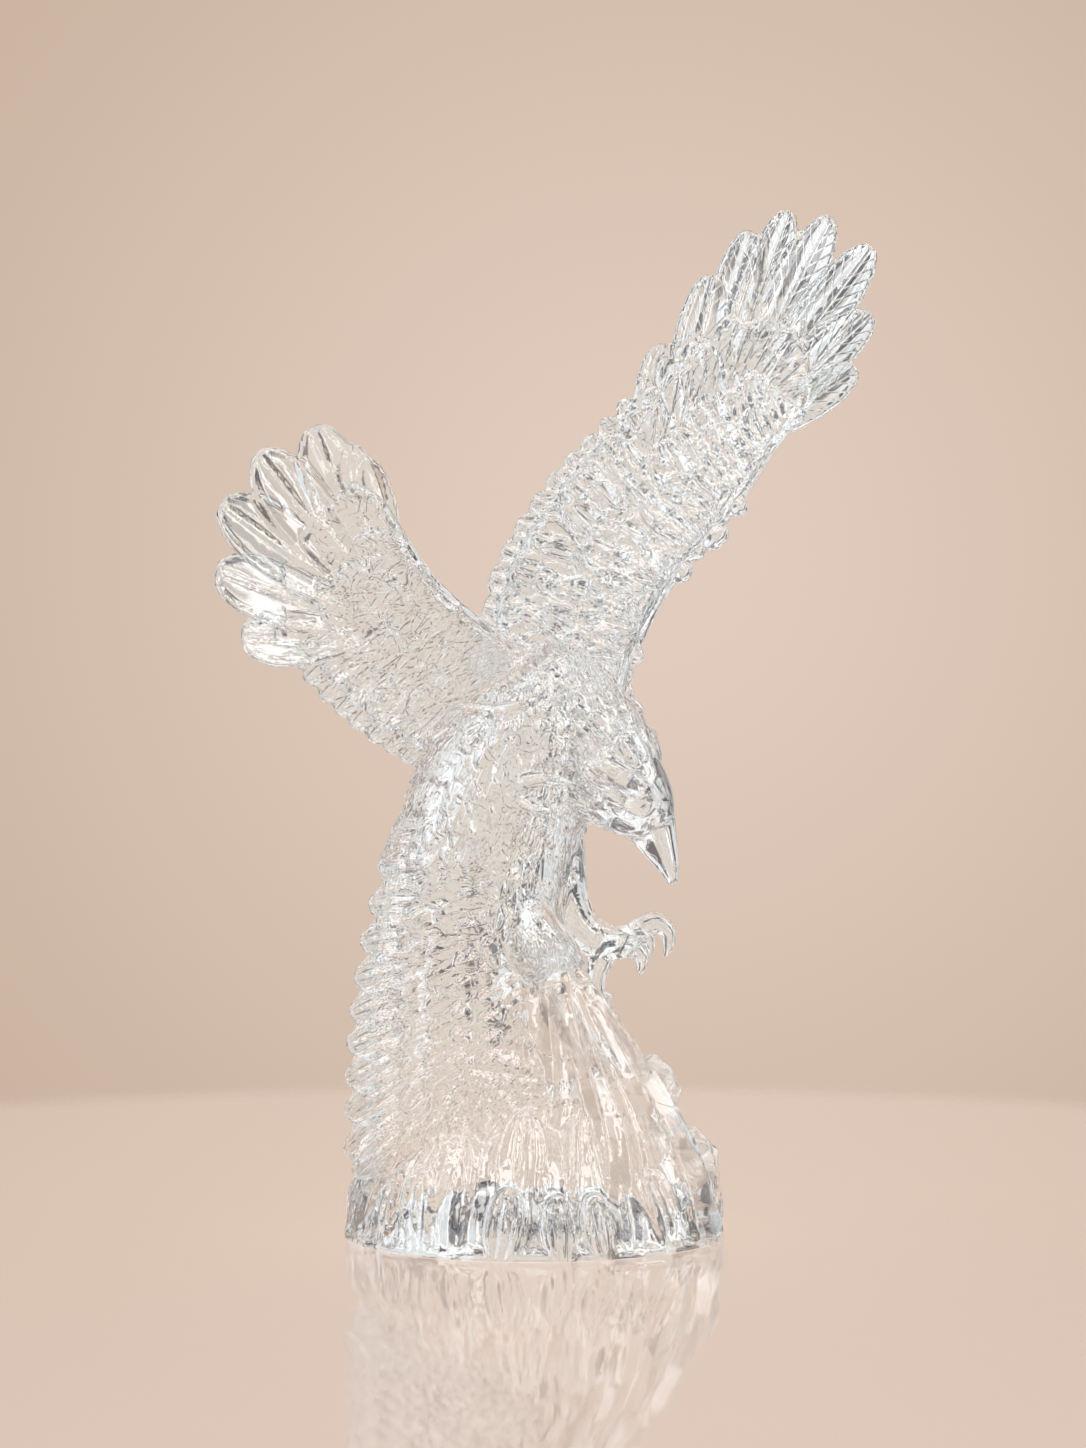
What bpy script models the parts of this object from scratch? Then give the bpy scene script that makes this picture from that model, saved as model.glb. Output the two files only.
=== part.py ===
"""Crystal eagle alighting on a rock, cast and cut as one piece of clear crystal.

Metres, +Z up. The origin is the centre of the round underside. The bird faces +X and a little -Y:
its left wing is raised behind (+Y), its right wing is spread in front (-Y), its right foot stands
on the crag, and its left foot reaches out. The fanned tail comes down over the rock on the -X side.
"""

import math
import random

import bmesh
import bpy
from mathutils import Matrix, Vector

# Driving sizes, each free to change by itself.
FIGURE_HEIGHT = 0.305
BASE_RADIUS = 0.0555
RIM_HEIGHT = 0.0045
RIM_EDGE = 0.0010
RIM_SIDES = 64
SKIRT_HEIGHT = 0.036
SKIRT_INSET = 0.0012
FLUTE_DEPTH = 0.0032
FLUTE_COUNT = 22

# The carving's grain: the cell that the solids are fused on, and the share of its faces that is kept.
FUSING_CELL = FIGURE_HEIGHT / 277
KEPT_SHARE = 0.0375

# The figure is drawn in units of a 307th of its height, so its pose and carving are shares of it.
DRAWN_HEIGHT = 307.0
UNIT = FIGURE_HEIGHT / DRAWN_HEIGHT

# Below its waist the figure spreads to meet the base: it is drawn for a base of this radius.
DRAWN_BASE = 56.0
WAIST = 75.0

SUNK = -4.0
FAN_CENTRE = (-3.0, 104.0)
CRYSTAL_TINT = (0.96, 0.97, 0.98, 1.0)
CRYSTAL_IOR = 1.54


def clear_scene():
    """Removes whatever the startup file holds."""
    for obj in list(bpy.data.objects):
        bpy.data.objects.remove(obj)


def crystal():
    """Clear polished crystal."""
    material = bpy.data.materials.new("clear_crystal")
    material.use_nodes = True
    shader = material.node_tree.nodes["Principled BSDF"]
    shader.inputs["Base Color"].default_value = CRYSTAL_TINT
    shader.inputs["Metallic"].default_value = 0.0
    shader.inputs["Roughness"].default_value = 0.03
    shader.inputs["IOR"].default_value = CRYSTAL_IOR
    shader.inputs["Transmission Weight"].default_value = 1.0
    return material


def smooth_row(rows, t):
    """The row at t, 0 to 1, on a smooth curve through a list of equally spaced rows of numbers."""
    place = min(max(t, 0.0), 1.0) * (len(rows) - 1)
    i = min(int(place), len(rows) - 2)
    f = place - i
    before, start, end, after = (rows[min(max(i + k, 0), len(rows) - 1)] for k in (-1, 0, 1, 2))
    return [
        0.5 * (2 * b + f * (c - a) + f * f * (2 * a - 5 * b + 4 * c - d) + f**3 * (3 * b - a - 3 * c + d))
        for a, b, c, d in zip(before, start, end, after)
    ]


def bridged(bm, rings):
    """A closed skin over a list of rings that have as many points each."""
    made = [[bm.verts.new(point * UNIT) for point in ring] for ring in rings]
    count = len(made[0])
    for low, high in zip(made, made[1:]):
        for i in range(count):
            j = (i + 1) % count
            bm.faces.new((low[i], low[j], high[j], high[i]))
    bm.faces.new(list(reversed(made[0])))
    bm.faces.new(made[-1])


def limb(bm, stations, sides=10, flat=1.0):
    """A tapered limb through stations (x, y, z, radius); flat narrows it along Y."""
    centres = [Vector(row[:3]) for row in stations]
    rings = []
    for i, row in enumerate(stations):
        ahead = centres[min(i + 1, len(centres) - 1)] - centres[max(i - 1, 0)]
        up = ahead.cross(Vector((0, 1, 0))).normalized()
        side = up.cross(ahead).normalized()
        ring = []
        for k in range(sides):
            angle = math.tau * k / sides
            ring.append(centres[i] + row[3] * (up * math.cos(angle) + side * (flat * math.sin(angle))))
        rings.append(ring)
    bridged(bm, rings)


def smooth_limb(bm, stations, steps, sides=10, flat=1.0):
    """A limb on a smooth curve through its stations."""
    limb(bm, [smooth_row(stations, i / steps) for i in range(steps + 1)], sides, flat)


def feather(bm, root, tip, across, width, thick, edge=1.8, bow=0.0, steps=6):
    """A feather: a leaf with blunt edges and a raised shaft on both faces, round at the tip."""
    ahead = tip - root
    face = ahead.cross(across).normalized()
    side = face.cross(ahead).normalized()
    rings = []
    for i in range(steps + 1):
        t = 1 - (1 - i / steps) ** 1.5
        centre = root + ahead * t + face * (bow * math.sin(math.pi * t))
        swell = 0.5 + 0.5 * math.sin(min(t / 0.6, 1.0) * math.pi / 2)
        round_tip = math.sqrt(max(1 - (max(t - 0.62, 0) / 0.39) ** 2.2, 0.0))
        half = 0.5 * width * swell * round_tip
        rise = 0.5 * thick * (1 - 0.3 * t)
        rings.append([
            centre + side * half + face * (0.5 * edge),
            centre + face * rise,
            centre - side * half + face * (0.5 * edge),
            centre - side * half - face * (0.5 * edge),
            centre - face * rise,
            centre + side * half - face * (0.5 * edge),
        ])
    bridged(bm, rings)


class Trunk:
    """The tail fan, body and shoulders: ellipses stacked up the height."""

    # Height, left edge, right edge, half depth, middle of the depth.
    OUTLINE = (
        (-4, -52, 48, 49, 0),
        (12, -51.5, 44, 46, 0),
        (28, -51, 34, 40, 1),
        (44, -50.5, 25, 35, 2),
        (60, -50, 13, 31.5, 2),
        (76, -48.5, 5.5, 28.5, 1),
        (92, -46.5, 5.5, 26, 0),
        (108, -42.5, 9, 24.5, -2),
        (124, -35.5, 13.5, 24, -4),
        (140, -30, 18, 23, -5),
        (152, -22, 21.5, 20.5, -4),
        (162, -10, 20, 16, -1),
        (168, 1, 14, 9, 1),
    )

    def section(self, z):
        """Middle x, middle y, half width and half depth at a height."""
        rows = self.OUTLINE
        i = max(k for k in range(len(rows) - 1) if rows[k][0] <= max(z, rows[0][0]))
        f = min(max((z - rows[i][0]) / (rows[i + 1][0] - rows[i][0]), 0.0), 1.0)
        _, left, right, depth, middle = smooth_row(rows, (i + f) / (len(rows) - 1))
        return (left + right) / 2, middle, (right - left) / 2, depth

    def ring(self, z, sides):
        """The points round the trunk at a height."""
        x, y, half_width, half_depth = self.section(z)
        angles = [math.tau * i / sides for i in range(sides)]
        return [Vector((x + half_width * math.cos(a), y + half_depth * math.sin(a), z)) for a in angles]

    def skin(self, x, z, face):
        """The point over (x, z) on the front skin (face -1) or the back skin (face 1)."""
        middle_x, middle_y, half_width, half_depth = self.section(z)
        share = min(abs(x - middle_x) / half_width, 1.0)
        return Vector((x, middle_y + face * half_depth * math.sqrt(1 - share * share), z))

    def round_point(self, angle, z):
        """The skin's point at an angle round the trunk, and the way out from it."""
        x, y, half_width, half_depth = self.section(z)
        out = Vector((math.cos(angle) / half_width, math.sin(angle) / half_depth, 0)).normalized()
        return Vector((x + half_width * math.cos(angle), y + half_depth * math.sin(angle), z)), out

    def build(self, bm):
        """The plain trunk."""
        low, high = self.OUTLINE[0][0], self.OUTLINE[-1][0]
        steps = 22
        bridged(bm, [self.ring(low + (high - low) * i / steps, 28) for i in range(steps + 1)])


TRUNK = Trunk()


# How far each flight feather lies behind or before the next.
LAYER_STEP = 1.2


class Wing:
    """A wing drawn in the XZ plane, with its depth falling back from root to tip."""

    def __init__(self, sections, axis, depths, leans, covered, primaries, secondaries):
        self.sections = sections
        self.axis_root = Vector(axis[0])
        self.axis = Vector(axis[1]) - self.axis_root
        self.depths = depths
        self.leans = leans
        self.covered = covered
        self.primaries = primaries
        self.secondaries = secondaries

    def depth(self, x, z):
        """How far back the wing lies at (x, z)."""
        along = (Vector((x, z)) - self.axis_root).dot(self.axis) / self.axis.length_squared
        return self.depths[0] + (self.depths[1] - self.depths[0]) * along

    def point(self, s, c, lift=0.0):
        """The point a share s along the wing and c from the leading edge, lifted off the middle sheet.

        The sheet is hollow in front, and the leading edge stands forward of the trailing edge.
        """
        lead_x, lead_z, trail_x, trail_z, _ = smooth_row(self.sections, s)
        x = lead_x + (trail_x - lead_x) * c
        z = lead_z + (trail_z - lead_z) * c
        inside = min(max(c, 0.0), 1.0)
        camber = 5.0 * (4 * inside * (1 - inside)) * (1 - 0.4 * s)
        return Vector((x, self.depth(x, z) + camber + 7.0 * (c - 0.5) + lift, z))

    def thickness(self, s, c):
        """The arm is thick near the leading edge and thins towards the trailing edge."""
        return smooth_row(self.sections, s)[4] * (1.0 - 0.62 * min(max(c, 0.0), 1.0))

    def across(self, s, c):
        """The direction along the wing."""
        return self.point(min(s + 0.05, 1.0), c) - self.point(max(s - 0.05, 0.0), c)

    def build_arm(self, bm, steps=16):
        """The fleshy part: flat lens sections from root to fingertip."""
        chord = (0.0, 0.06, 0.3, 0.62, 0.98, 0.62, 0.3, 0.06)
        faces = (0, -1, -1, -1, 0, 1, 1, 1)
        rings = []
        for i in range(steps + 1):
            s = i / steps
            rings.append([self.point(s, c, 0.5 * f * self.thickness(s, c)) for c, f in zip(chord, faces)])
        bridged(bm, rings)

    def build_primaries(self, bm):
        """The long flight feathers that fan out past the hand."""
        for number, (root_x, root_z, tip_x, tip_z, width) in enumerate(self.primaries):
            layer = LAYER_STEP * (number % 2 - 0.5)
            root = Vector((root_x, self.depth(root_x, root_z) + 3.0 + layer, root_z))
            tip = Vector((tip_x, self.depth(tip_x, tip_z) + layer, tip_z))
            ahead = tip - root
            side = Vector((ahead.z, 0.25 * ahead.length, -ahead.x))
            feather(bm, root, tip, side, width, 4.6, edge=2.2, bow=2.0, steps=9)

    def build_row(self, bm, count, start, chord, width, thick, face):
        """A row of feathers across the wing, on its front (-1), back (1) or edge (0).

        Towards the wingtip they lean more and more along the wing.
        """
        for i in range(count):
            s = start + (self.covered - start) * i / (count - 1)
            lean = (self.leans[0] + (self.leans[1] - self.leans[0]) * s) * (chord[1] - chord[0])
            lifts = [0.46 * face * self.thickness(s, c) for c in chord]
            root = self.point(s - 0.5 * lean, chord[0], lifts[0])
            tip = self.point(min(s + 0.5 * lean, 1.0), chord[1], lifts[1] + 0.9 * face)
            feather(bm, root, tip, self.across(s, chord[0]), width, thick)

    def build(self, bm):
        """Arm, flight feathers and rows of coverts on both faces."""
        self.build_arm(bm)
        self.build_primaries(bm)
        self.build_row(bm, self.secondaries, *SECONDARY_ROW, 0)
        for face in (-1, 1):
            for extra, row in enumerate(COVERT_ROWS, start=-1):
                self.build_row(bm, self.secondaries + extra, *row, face)


# Share of the wing where a row starts, shares of the chord at root and tip, width and thickness.
SECONDARY_ROW = (0.04, (0.45, 1.13), 12.5, 3.6)
COVERT_ROWS = (
    (0.07, (0.44, 0.93), 9.5, 3.4),
    (0.03, (0.22, 0.66), 8.5, 3.6),
    (0.0, (0.02, 0.4), 7.5, 3.8),
)

LEFT_WING = Wing(
    # Leading edge x and z, trailing edge x and z, thickness.
    sections=(
        (26, 158, -9, 168, 15),
        (30.5, 173, -10, 184, 12.5),
        (37.5, 186, -5, 198, 11),
        (45.5, 197, 2.5, 211, 10),
        (55, 207.5, 12, 224, 9),
        (64, 220, 23, 236, 7.5),
        (72.5, 233.5, 35.5, 250, 5.5),
        (82, 243.5, 51, 266, 4),
    ),
    axis=((7.5, 170), (81, 290)),
    depths=(10, 48),
    leans=(-0.04, 0.3),
    covered=0.96,
    # Root x and z, tip x and z, width.
    primaries=(
        (67, 236, 98.5, 257.5, 13),
        (64, 238, 103.5, 275, 15.5),
        (62, 239, 104, 296, 17),
        (59, 241, 91.5, 305.5, 16),
        (55, 242, 78.5, 307, 15),
        (50, 240, 66.5, 300.5, 15),
        (43, 236, 54.5, 286, 15),
        (35, 229, 40, 264.5, 15),
    ),
    secondaries=16,
)

RIGHT_WING = Wing(
    sections=(
        (4, 163, -26, 139, 15),
        (-7, 172, -34, 142, 12.5),
        (-16.5, 179, -42, 147, 11),
        (-25, 186, -50, 153, 10),
        (-32, 194, -57, 160, 8.5),
        (-37.5, 202.5, -64, 168, 6),
        (-43, 211, -70, 178, 3.2),
        (-51, 216, -74, 190, 2.6),
    ),
    axis=((-10.5, 161), (-74, 209)),
    depths=(-10, -50),
    leans=(0.1, 0.3),
    covered=0.76,
    primaries=(
        (-39, 196, -47, 223, 10),
        (-42, 194, -52.5, 227, 13),
        (-45, 191, -61.5, 231.5, 18),
        (-48, 188, -76.5, 224, 19),
        (-50, 184, -86.5, 210, 19),
        (-52, 179, -88.5, 191.5, 19),
        (-53, 174, -82, 173, 17),
    ),
    secondaries=10,
)


# Share of the skirt's height, share of the radius and share of the flutes' depth.
SKIRT_PROFILE = (
    (0.2, 0.99, 1.0),
    (0.45, 0.95, 1.0),
    (0.75, 0.84, 0.7),
    (1.0, 0.66, 0.2),
)


def build_skirt(bm):
    """The fluted foot of the rock: pleats of uneven width that spread down onto the rim."""
    steps = 5
    sides = FLUTE_COUNT * steps
    drop = SKIRT_HEIGHT / UNIT
    radius = (BASE_RADIUS - SKIRT_INSET) / UNIT
    depth = FLUTE_DEPTH / UNIT
    rings = []
    for height, wide, deep in ((SUNK / drop, 1.0, 0.8),) + SKIRT_PROFILE:
        ring = []
        for i in range(sides):
            angle = math.tau * i / sides
            flute = abs(math.sin(0.5 * FLUTE_COUNT * angle + 0.9 * math.sin(3 * angle)))
            uneven = 0.75 + 0.25 * math.sin(5 * angle + 1)
            r = radius * wide - depth * deep * uneven * (1 - flute)
            ring.append(Vector((r * math.cos(angle), r * math.sin(angle), drop * height)))
        rings.append(ring)
    bridged(bm, rings)


def boulder(bm, centre, radii, seed, points=30):
    """A broken lump of rock: the hull of points scattered over an egg."""
    rng = random.Random(seed)
    made = []
    for i in range(points):
        up = 1 - 2 * (i + 0.5) / points
        angle = i * math.pi * (3 - math.sqrt(5)) + rng.uniform(-0.3, 0.3)
        flat = math.sqrt(1 - up * up)
        way = Vector((flat * math.cos(angle), flat * math.sin(angle), up)) * rng.uniform(0.94, 1.04)
        place = Vector(c + r * w for c, r, w in zip(centre, radii, way))
        made.append(bm.verts.new(place * UNIT))
    hull = bmesh.ops.convex_hull(bm, input=made)
    spare = [e for e in hull["geom_interior"] if isinstance(e, bmesh.types.BMVert)]
    bmesh.ops.delete(bm, geom=spare, context="VERTS")


def build_rock(bm):
    """The crag that the right foot stands on, and the lumps beside it."""
    crag = (
        (16, -8, 2, 36),
        (20.5, -12, 26, 24),
        (17.5, -14, 44, 17),
        (13, -17.5, 60, 12),
        (9.8, -20, 71, 8.8),
        (8, -20, 77.5, 6.2),
    )
    rings = []
    for turn, (x, y, z, r) in enumerate(crag):
        angles = [math.tau * i / 9 + 0.12 * turn for i in range(9)]
        rings.append([Vector((x + r * math.cos(a), y + r * math.sin(a), z)) for a in angles])
    bridged(bm, rings)
    lumps = (
        ((33, -4, 40), (10.5, 15, 13)),
        ((44, -8, 17), (11, 20, 15.5)),
        ((27, 18, 30), (14, 15, 18)),
        ((36, 22, 12), (15, 18, 13)),
        ((10, 33, 16), (17, 14, 15)),
    )
    for seed, (centre, radii) in enumerate(lumps):
        boulder(bm, centre, radii, seed)


def fan_edge(t):
    """The tail fan's outline, from its top left corner down and round to the right, at t from 0 to 1."""
    corners = (
        (-46, 114),
        (-50.5, 95),
        (-52.5, 76),
        (-53.5, 57),
        (-53.5, 38),
        (-43, 27),
        (-27, 22),
        (-10, 19),
        (7, 18),
        (24, 20),
    )
    return smooth_row(corners, t)


def build_fan(bm, face):
    """The spread tail on the front or back skin: rows of feathers that ray out from the rump."""
    # Share of the way out of each feather's tip, of its root, how many, and their width.
    rows = ((1.0, 0.6, 18, 11), (0.8, 0.44, 15, 10), (0.6, 0.28, 12, 9), (0.42, 0.12, 9, 8))
    for number, (outer, inner, count, width) in enumerate(rows):
        for i in range(count):
            edge_x, edge_z = fan_edge((i + 0.5 * (number % 2)) / (count - 0.5))
            ends = []
            for share, lift in ((inner, 0.2), (outer, 2.0)):
                x = FAN_CENTRE[0] + (edge_x - FAN_CENTRE[0]) * share
                z = FAN_CENTRE[1] + (edge_z - FAN_CENTRE[1]) * share
                ends.append(TRUNK.skin(x, z, face) + Vector((0, face * lift, 0)))
            ahead = ends[1] - ends[0]
            feather(bm, ends[0], ends[1], Vector((ahead.z, 0, -ahead.x)), width, 4.6, bow=-1.2 * face)


def build_plumage(bm):
    """Rows of body feathers, overlapping downwards from the shoulders to the rump."""
    for row, z in enumerate(range(104, 164, 9)):
        count = 13
        for i in range(count):
            angle = math.tau * (i + 0.5 * (row % 2)) / count
            root, out = TRUNK.round_point(angle, z + 7)
            tip, _ = TRUNK.round_point(angle, z - 6)
            feather(bm, root, tip + out * 1.4, out.cross(tip - root), 9.0, 4.0)


def build_head(bm):
    """Neck, head, brows, eyes and hooked beak."""
    neck = (
        (2, -3, 152, 19),
        (8, -6, 148, 18),
        (14, -9.5, 142.5, 17),
        (21, -13, 135.5, 15.5),
        (26.5, -15.5, 129.5, 13.6),
        (31, -17, 124.5, 11),
        (34, -18, 120.5, 8),
    )
    smooth_limb(bm, neck, 12, sides=14, flat=0.9)
    beak = (
        (33, -17.5, 123, 7.0),
        (36, -18, 117.5, 5.4),
        (38, -18.4, 112.5, 4.5),
        (39.6, -18.8, 107.5, 3.1),
        (40.3, -19, 103, 1.5),
    )
    smooth_limb(bm, beak, 8, sides=10, flat=0.8)
    jaw = ((29.5, -17, 121, 4.5), (31.5, -17.5, 116, 3.6), (34.5, -18, 109.5, 1.8))
    smooth_limb(bm, jaw, 4, sides=8, flat=0.9)
    for side in (-1, 1):
        brow = ((22, 11, 134, 2.4), (29, 10.4, 130, 2.6), (34.5, 7, 124.5, 1.6))
        smooth_limb(bm, [(x, -16.5 + side * y, z, r) for x, y, z, r in brow], 4, sides=6)
        eye = Matrix.Translation(Vector((30.2, -17 + side * 9.3, 125.6)) * UNIT)
        bmesh.ops.create_icosphere(bm, subdivisions=2, radius=1.9 * UNIT, matrix=eye)
    for row in range(5):
        centre_x, centre_y, centre_z, radius = smooth_row(neck, 0.08 + 0.14 * row)
        tip_x, tip_y, tip_z, tip_radius = smooth_row(neck, 0.08 + 0.14 * row - 0.16)
        ahead = Vector((centre_x - tip_x, centre_y - tip_y, centre_z - tip_z)).normalized()
        up = ahead.cross(Vector((0, 1, 0))).normalized()
        count = 11
        for i in range(count):
            angle = math.tau * (i + 0.5 * (row % 2)) / count
            out = up * math.cos(angle) + up.cross(ahead) * (0.9 * math.sin(angle))
            root = Vector((centre_x, centre_y, centre_z)) + out * radius * 0.98
            tip = Vector((tip_x, tip_y, tip_z)) + out * (tip_radius + 1.6)
            feather(bm, root, tip, out.cross(tip - root), 7.5, 3.4)


# Each leg and toe runs through stations of x, y, z and radius.
REACHING_LEG = (
    (3, 2, 124, 11.5),
    (5, 1, 112, 10.5),
    (6.5, 0, 102, 9),
    (9.5, -1, 95, 7.4),
    (13.5, -2, 89.5, 6.2),
    (18, -3, 86.3, 5.8),
    (22, -3.5, 85.3, 5.2),
)
REACHING_TOES = (
    (
        (21, -3.5, 85.5, 4.6),
        (28, -4.5, 87, 3.9),
        (32.3, -5.5, 90.3, 3.5),
        (36, -6, 91, 3.2),
        (38.8, -6.2, 88.6, 2.5),
        (39.3, -6.2, 84.9, 1.8),
        (38, -6.2, 81.2, 0.8),
    ),
    (
        (21, -4.5, 84, 4.6),
        (26, -9, 84.5, 3.7),
        (29.6, -11.5, 83.6, 2.9),
        (31.4, -12.6, 80.6, 2.1),
        (30.4, -12.8, 76.4, 0.8),
    ),
    (
        (21, -2, 84.5, 4.6),
        (26, 2, 86.5, 3.6),
        (31, 5, 87.5, 3.1),
        (34, 6, 85, 2.2),
        (34, 6, 81, 0.8),
    ),
    (
        (20.5, -3, 84, 4.8),
        (18.8, -3, 78, 3.7),
        (17.8, -3, 73.2, 3.1),
        (19.3, -3, 69.8, 2.3),
        (23.3, -3, 69.6, 0.8),
    ),
)
STANDING_LEG = (
    (-6, -15, 112, 11),
    (-5, -19, 100, 10.5),
    (-1.5, -21, 90, 10),
    (3, -21, 83, 8.5),
    (6.5, -20.5, 78, 6.5),
)
GRIPPING_TOES = (
    (
        (6, -20.5, 78.5, 4.2),
        (11, -20.5, 77.5, 3.6),
        (14, -20.5, 74, 3.0),
        (15.5, -20.5, 69.5, 2.2),
        (15.5, -20, 66, 1.2),
    ),
    (
        (6, -21, 78.5, 4.2),
        (8, -25, 77, 3.6),
        (9.5, -27.5, 73, 3.0),
        (10, -28, 68.5, 2.2),
        (10, -27, 65, 1.2),
    ),
    (
        (6, -20, 78.5, 4.2),
        (9.5, -16.5, 77.5, 3.6),
        (13, -14.5, 74.5, 3.0),
        (14.5, -14, 70, 2.2),
        (14.5, -14.5, 66, 1.2),
    ),
)


def build_legs(bm):
    """Both feathered thighs, the reaching foot with its talons and the foot on the crag."""
    smooth_limb(bm, REACHING_LEG, 14, sides=12)
    smooth_limb(bm, STANDING_LEG, 8, sides=12)
    for toe in REACHING_TOES + GRIPPING_TOES:
        smooth_limb(bm, toe, 10, sides=8)
    for row, z in enumerate((108, 100, 92)):
        for i in range(7):
            x, y, _, r = smooth_row(STANDING_LEG, (112 - z) / 34)
            angle = math.pi + math.pi * (i + 0.5 * (row % 2)) / 6.5
            out = Vector((math.cos(angle), math.sin(angle), 0))
            root = Vector((x, y, z + 5)) + out * r
            tip = Vector((x + 4, y - 1.5, z - 7)) + out * (r + 0.8)
            feather(bm, root, tip, out.cross(tip - root), 7.0, 3.4)


def build_shoulders(bm):
    """The lump of scapular feathers behind the neck, where the raised wing springs."""
    for i in range(6):
        z = 150 + 5.5 * i
        root = Vector((17, 8, z - 1))
        tip = Vector((30.5 + 2.0 * math.sin(1.9 * i), 10, z - 3))
        feather(bm, root, tip, Vector((0, 0, 1)), 8, 7)
        back = Vector((-14 - 1.5 * i, 4, z - 6))
        feather(bm, Vector((2, 12, z - 2)), back + Vector((0, 10 - i, 0)), Vector((0, 0, 1)), 9, 5)


def spread_to_base(bm):
    """Spreads what lies below the waist so that the rock and the tail meet a base of any radius."""
    ratio = BASE_RADIUS / UNIT / DRAWN_BASE
    for vertex in bm.verts:
        drop = min(max(1 - vertex.co.z / UNIT / WAIST, 0.0), 1.0)
        spread = 1 + (ratio - 1) * drop * (2 - drop)
        vertex.co.x *= spread
        vertex.co.y *= spread


def crystal_mesh():
    """Every form in one mesh, still overlapping."""
    bm = bmesh.new()
    TRUNK.build(bm)
    LEFT_WING.build(bm)
    RIGHT_WING.build(bm)
    build_rock(bm)
    build_fan(bm, -1)
    build_fan(bm, 1)
    build_plumage(bm)
    build_head(bm)
    build_legs(bm)
    build_shoulders(bm)
    spread_to_base(bm)
    build_skirt(bm)
    bmesh.ops.recalc_face_normals(bm, faces=bm.faces)
    mesh = bpy.data.meshes.new("crystal_eagle")
    bm.to_mesh(mesh)
    bm.free()
    return mesh


def helper(collection, name, bm):
    """An object that only shapes the crystal."""
    mesh = bpy.data.meshes.new(name)
    bm.to_mesh(mesh)
    bm.free()
    obj = bpy.data.objects.new(name, mesh)
    obj.hide_render = True
    obj.display_type = "WIRE"
    collection.objects.link(obj)
    return obj


def underside_cutter(collection):
    """A box whose top is the plane that the sculpture stands on."""
    side = 4 * max(BASE_RADIUS, FIGURE_HEIGHT)
    deep = 0.1 * side
    bm = bmesh.new()
    place = Matrix.Translation((0, 0, -deep / 2)) @ Matrix.Diagonal((side, side, deep, 1))
    bmesh.ops.create_cube(bm, size=1, matrix=place)
    return helper(collection, "underside_cutter", bm)


def rim_disc(collection):
    """The ground rim: a disc with a worn edge, fused to the foot."""
    bm = bmesh.new()
    place = Matrix.Translation((0, 0, RIM_HEIGHT / 2))
    bmesh.ops.create_cone(
        bm,
        cap_ends=True,
        segments=RIM_SIDES,
        radius1=BASE_RADIUS,
        radius2=BASE_RADIUS,
        depth=RIM_HEIGHT,
        matrix=place,
    )
    disc = helper(collection, "rim_disc", bm)
    edge = disc.modifiers.new("worn_edge", "BEVEL")
    edge.width = RIM_EDGE
    edge.segments = 2
    edge.limit_method = "ANGLE"
    return disc


def main():
    clear_scene()
    parts = bpy.data.collections.new("crystal_eagle")
    helpers = bpy.data.collections.new("cutters")
    bpy.context.scene.collection.children.link(parts)
    bpy.context.scene.collection.children.link(helpers)

    eagle = bpy.data.objects.new("crystal_eagle", crystal_mesh())
    parts.objects.link(eagle)
    eagle.data.materials.append(crystal())

    fuse = eagle.modifiers.new("fuse", "REMESH")
    fuse.mode = "VOXEL"
    fuse.voxel_size = FUSING_CELL
    fewer = eagle.modifiers.new("fewer_faces", "DECIMATE")
    fewer.ratio = KEPT_SHARE
    fewer.use_collapse_triangulate = True
    stand = eagle.modifiers.new("cut_underside", "BOOLEAN")
    stand.operation = "DIFFERENCE"
    stand.object = underside_cutter(helpers)
    rim = eagle.modifiers.new("add_rim", "BOOLEAN")
    rim.operation = "UNION"
    rim.object = rim_disc(helpers)


main()
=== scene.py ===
"""Dresses the crystal eagle: one cast piece of clear crystal, carved all over with feathers.

The figure is drawn in units of a 307th of its height, front on in the XZ plane, with -Y towards the viewer.
Every form is a closed solid, and all of them are fused into one casting.
"""

import logging
import math
import random
from collections.abc import Iterable, Sequence
from dataclasses import dataclass, field, fields
from enum import Enum

import bmesh
import bpy
import numpy as np
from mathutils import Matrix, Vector
from mathutils.bvhtree import BVHTree


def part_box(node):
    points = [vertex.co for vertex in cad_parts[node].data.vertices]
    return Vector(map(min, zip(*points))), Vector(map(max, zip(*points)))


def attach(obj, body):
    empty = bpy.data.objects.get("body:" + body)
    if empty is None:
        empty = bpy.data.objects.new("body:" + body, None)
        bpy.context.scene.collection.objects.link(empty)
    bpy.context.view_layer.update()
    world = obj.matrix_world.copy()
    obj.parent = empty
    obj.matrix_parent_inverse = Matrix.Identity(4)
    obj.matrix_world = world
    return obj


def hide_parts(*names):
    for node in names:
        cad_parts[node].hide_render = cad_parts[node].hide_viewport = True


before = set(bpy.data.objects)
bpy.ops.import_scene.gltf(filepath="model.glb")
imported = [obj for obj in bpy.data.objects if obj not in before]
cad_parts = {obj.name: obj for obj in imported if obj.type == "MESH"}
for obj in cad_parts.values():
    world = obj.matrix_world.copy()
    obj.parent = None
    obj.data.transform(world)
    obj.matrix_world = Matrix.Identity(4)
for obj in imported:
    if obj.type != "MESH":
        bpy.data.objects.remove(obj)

log = logging.getLogger("crystal_eagle")

# Metres.
FIGURE_HEIGHT = 0.305
BASE_RADIUS = 0.0555
RIM_HEIGHT = 0.0045
SKIRT_HEIGHT = 0.036
# Drawing units: the figure's height, and the level that the rim starts from before the cut at the table.
DRAWN_HEIGHT = 307.0
SUNK = -4.0
UNIT = FIGURE_HEIGHT / DRAWN_HEIGHT
# A leaf's width at its root, as a share of its greatest, where it is widest, where its outline closes and
# how square its round tip is.
ROOT_WIDTH = 0.5
WIDEST_AT = 0.6
CLOSED_AT = 1.01
TIP_POWER = 2.2
BACKWARD = (0.0, 1.0, 0.0)
UPWARD = (0.0, 0.0, 1.0)

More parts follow.
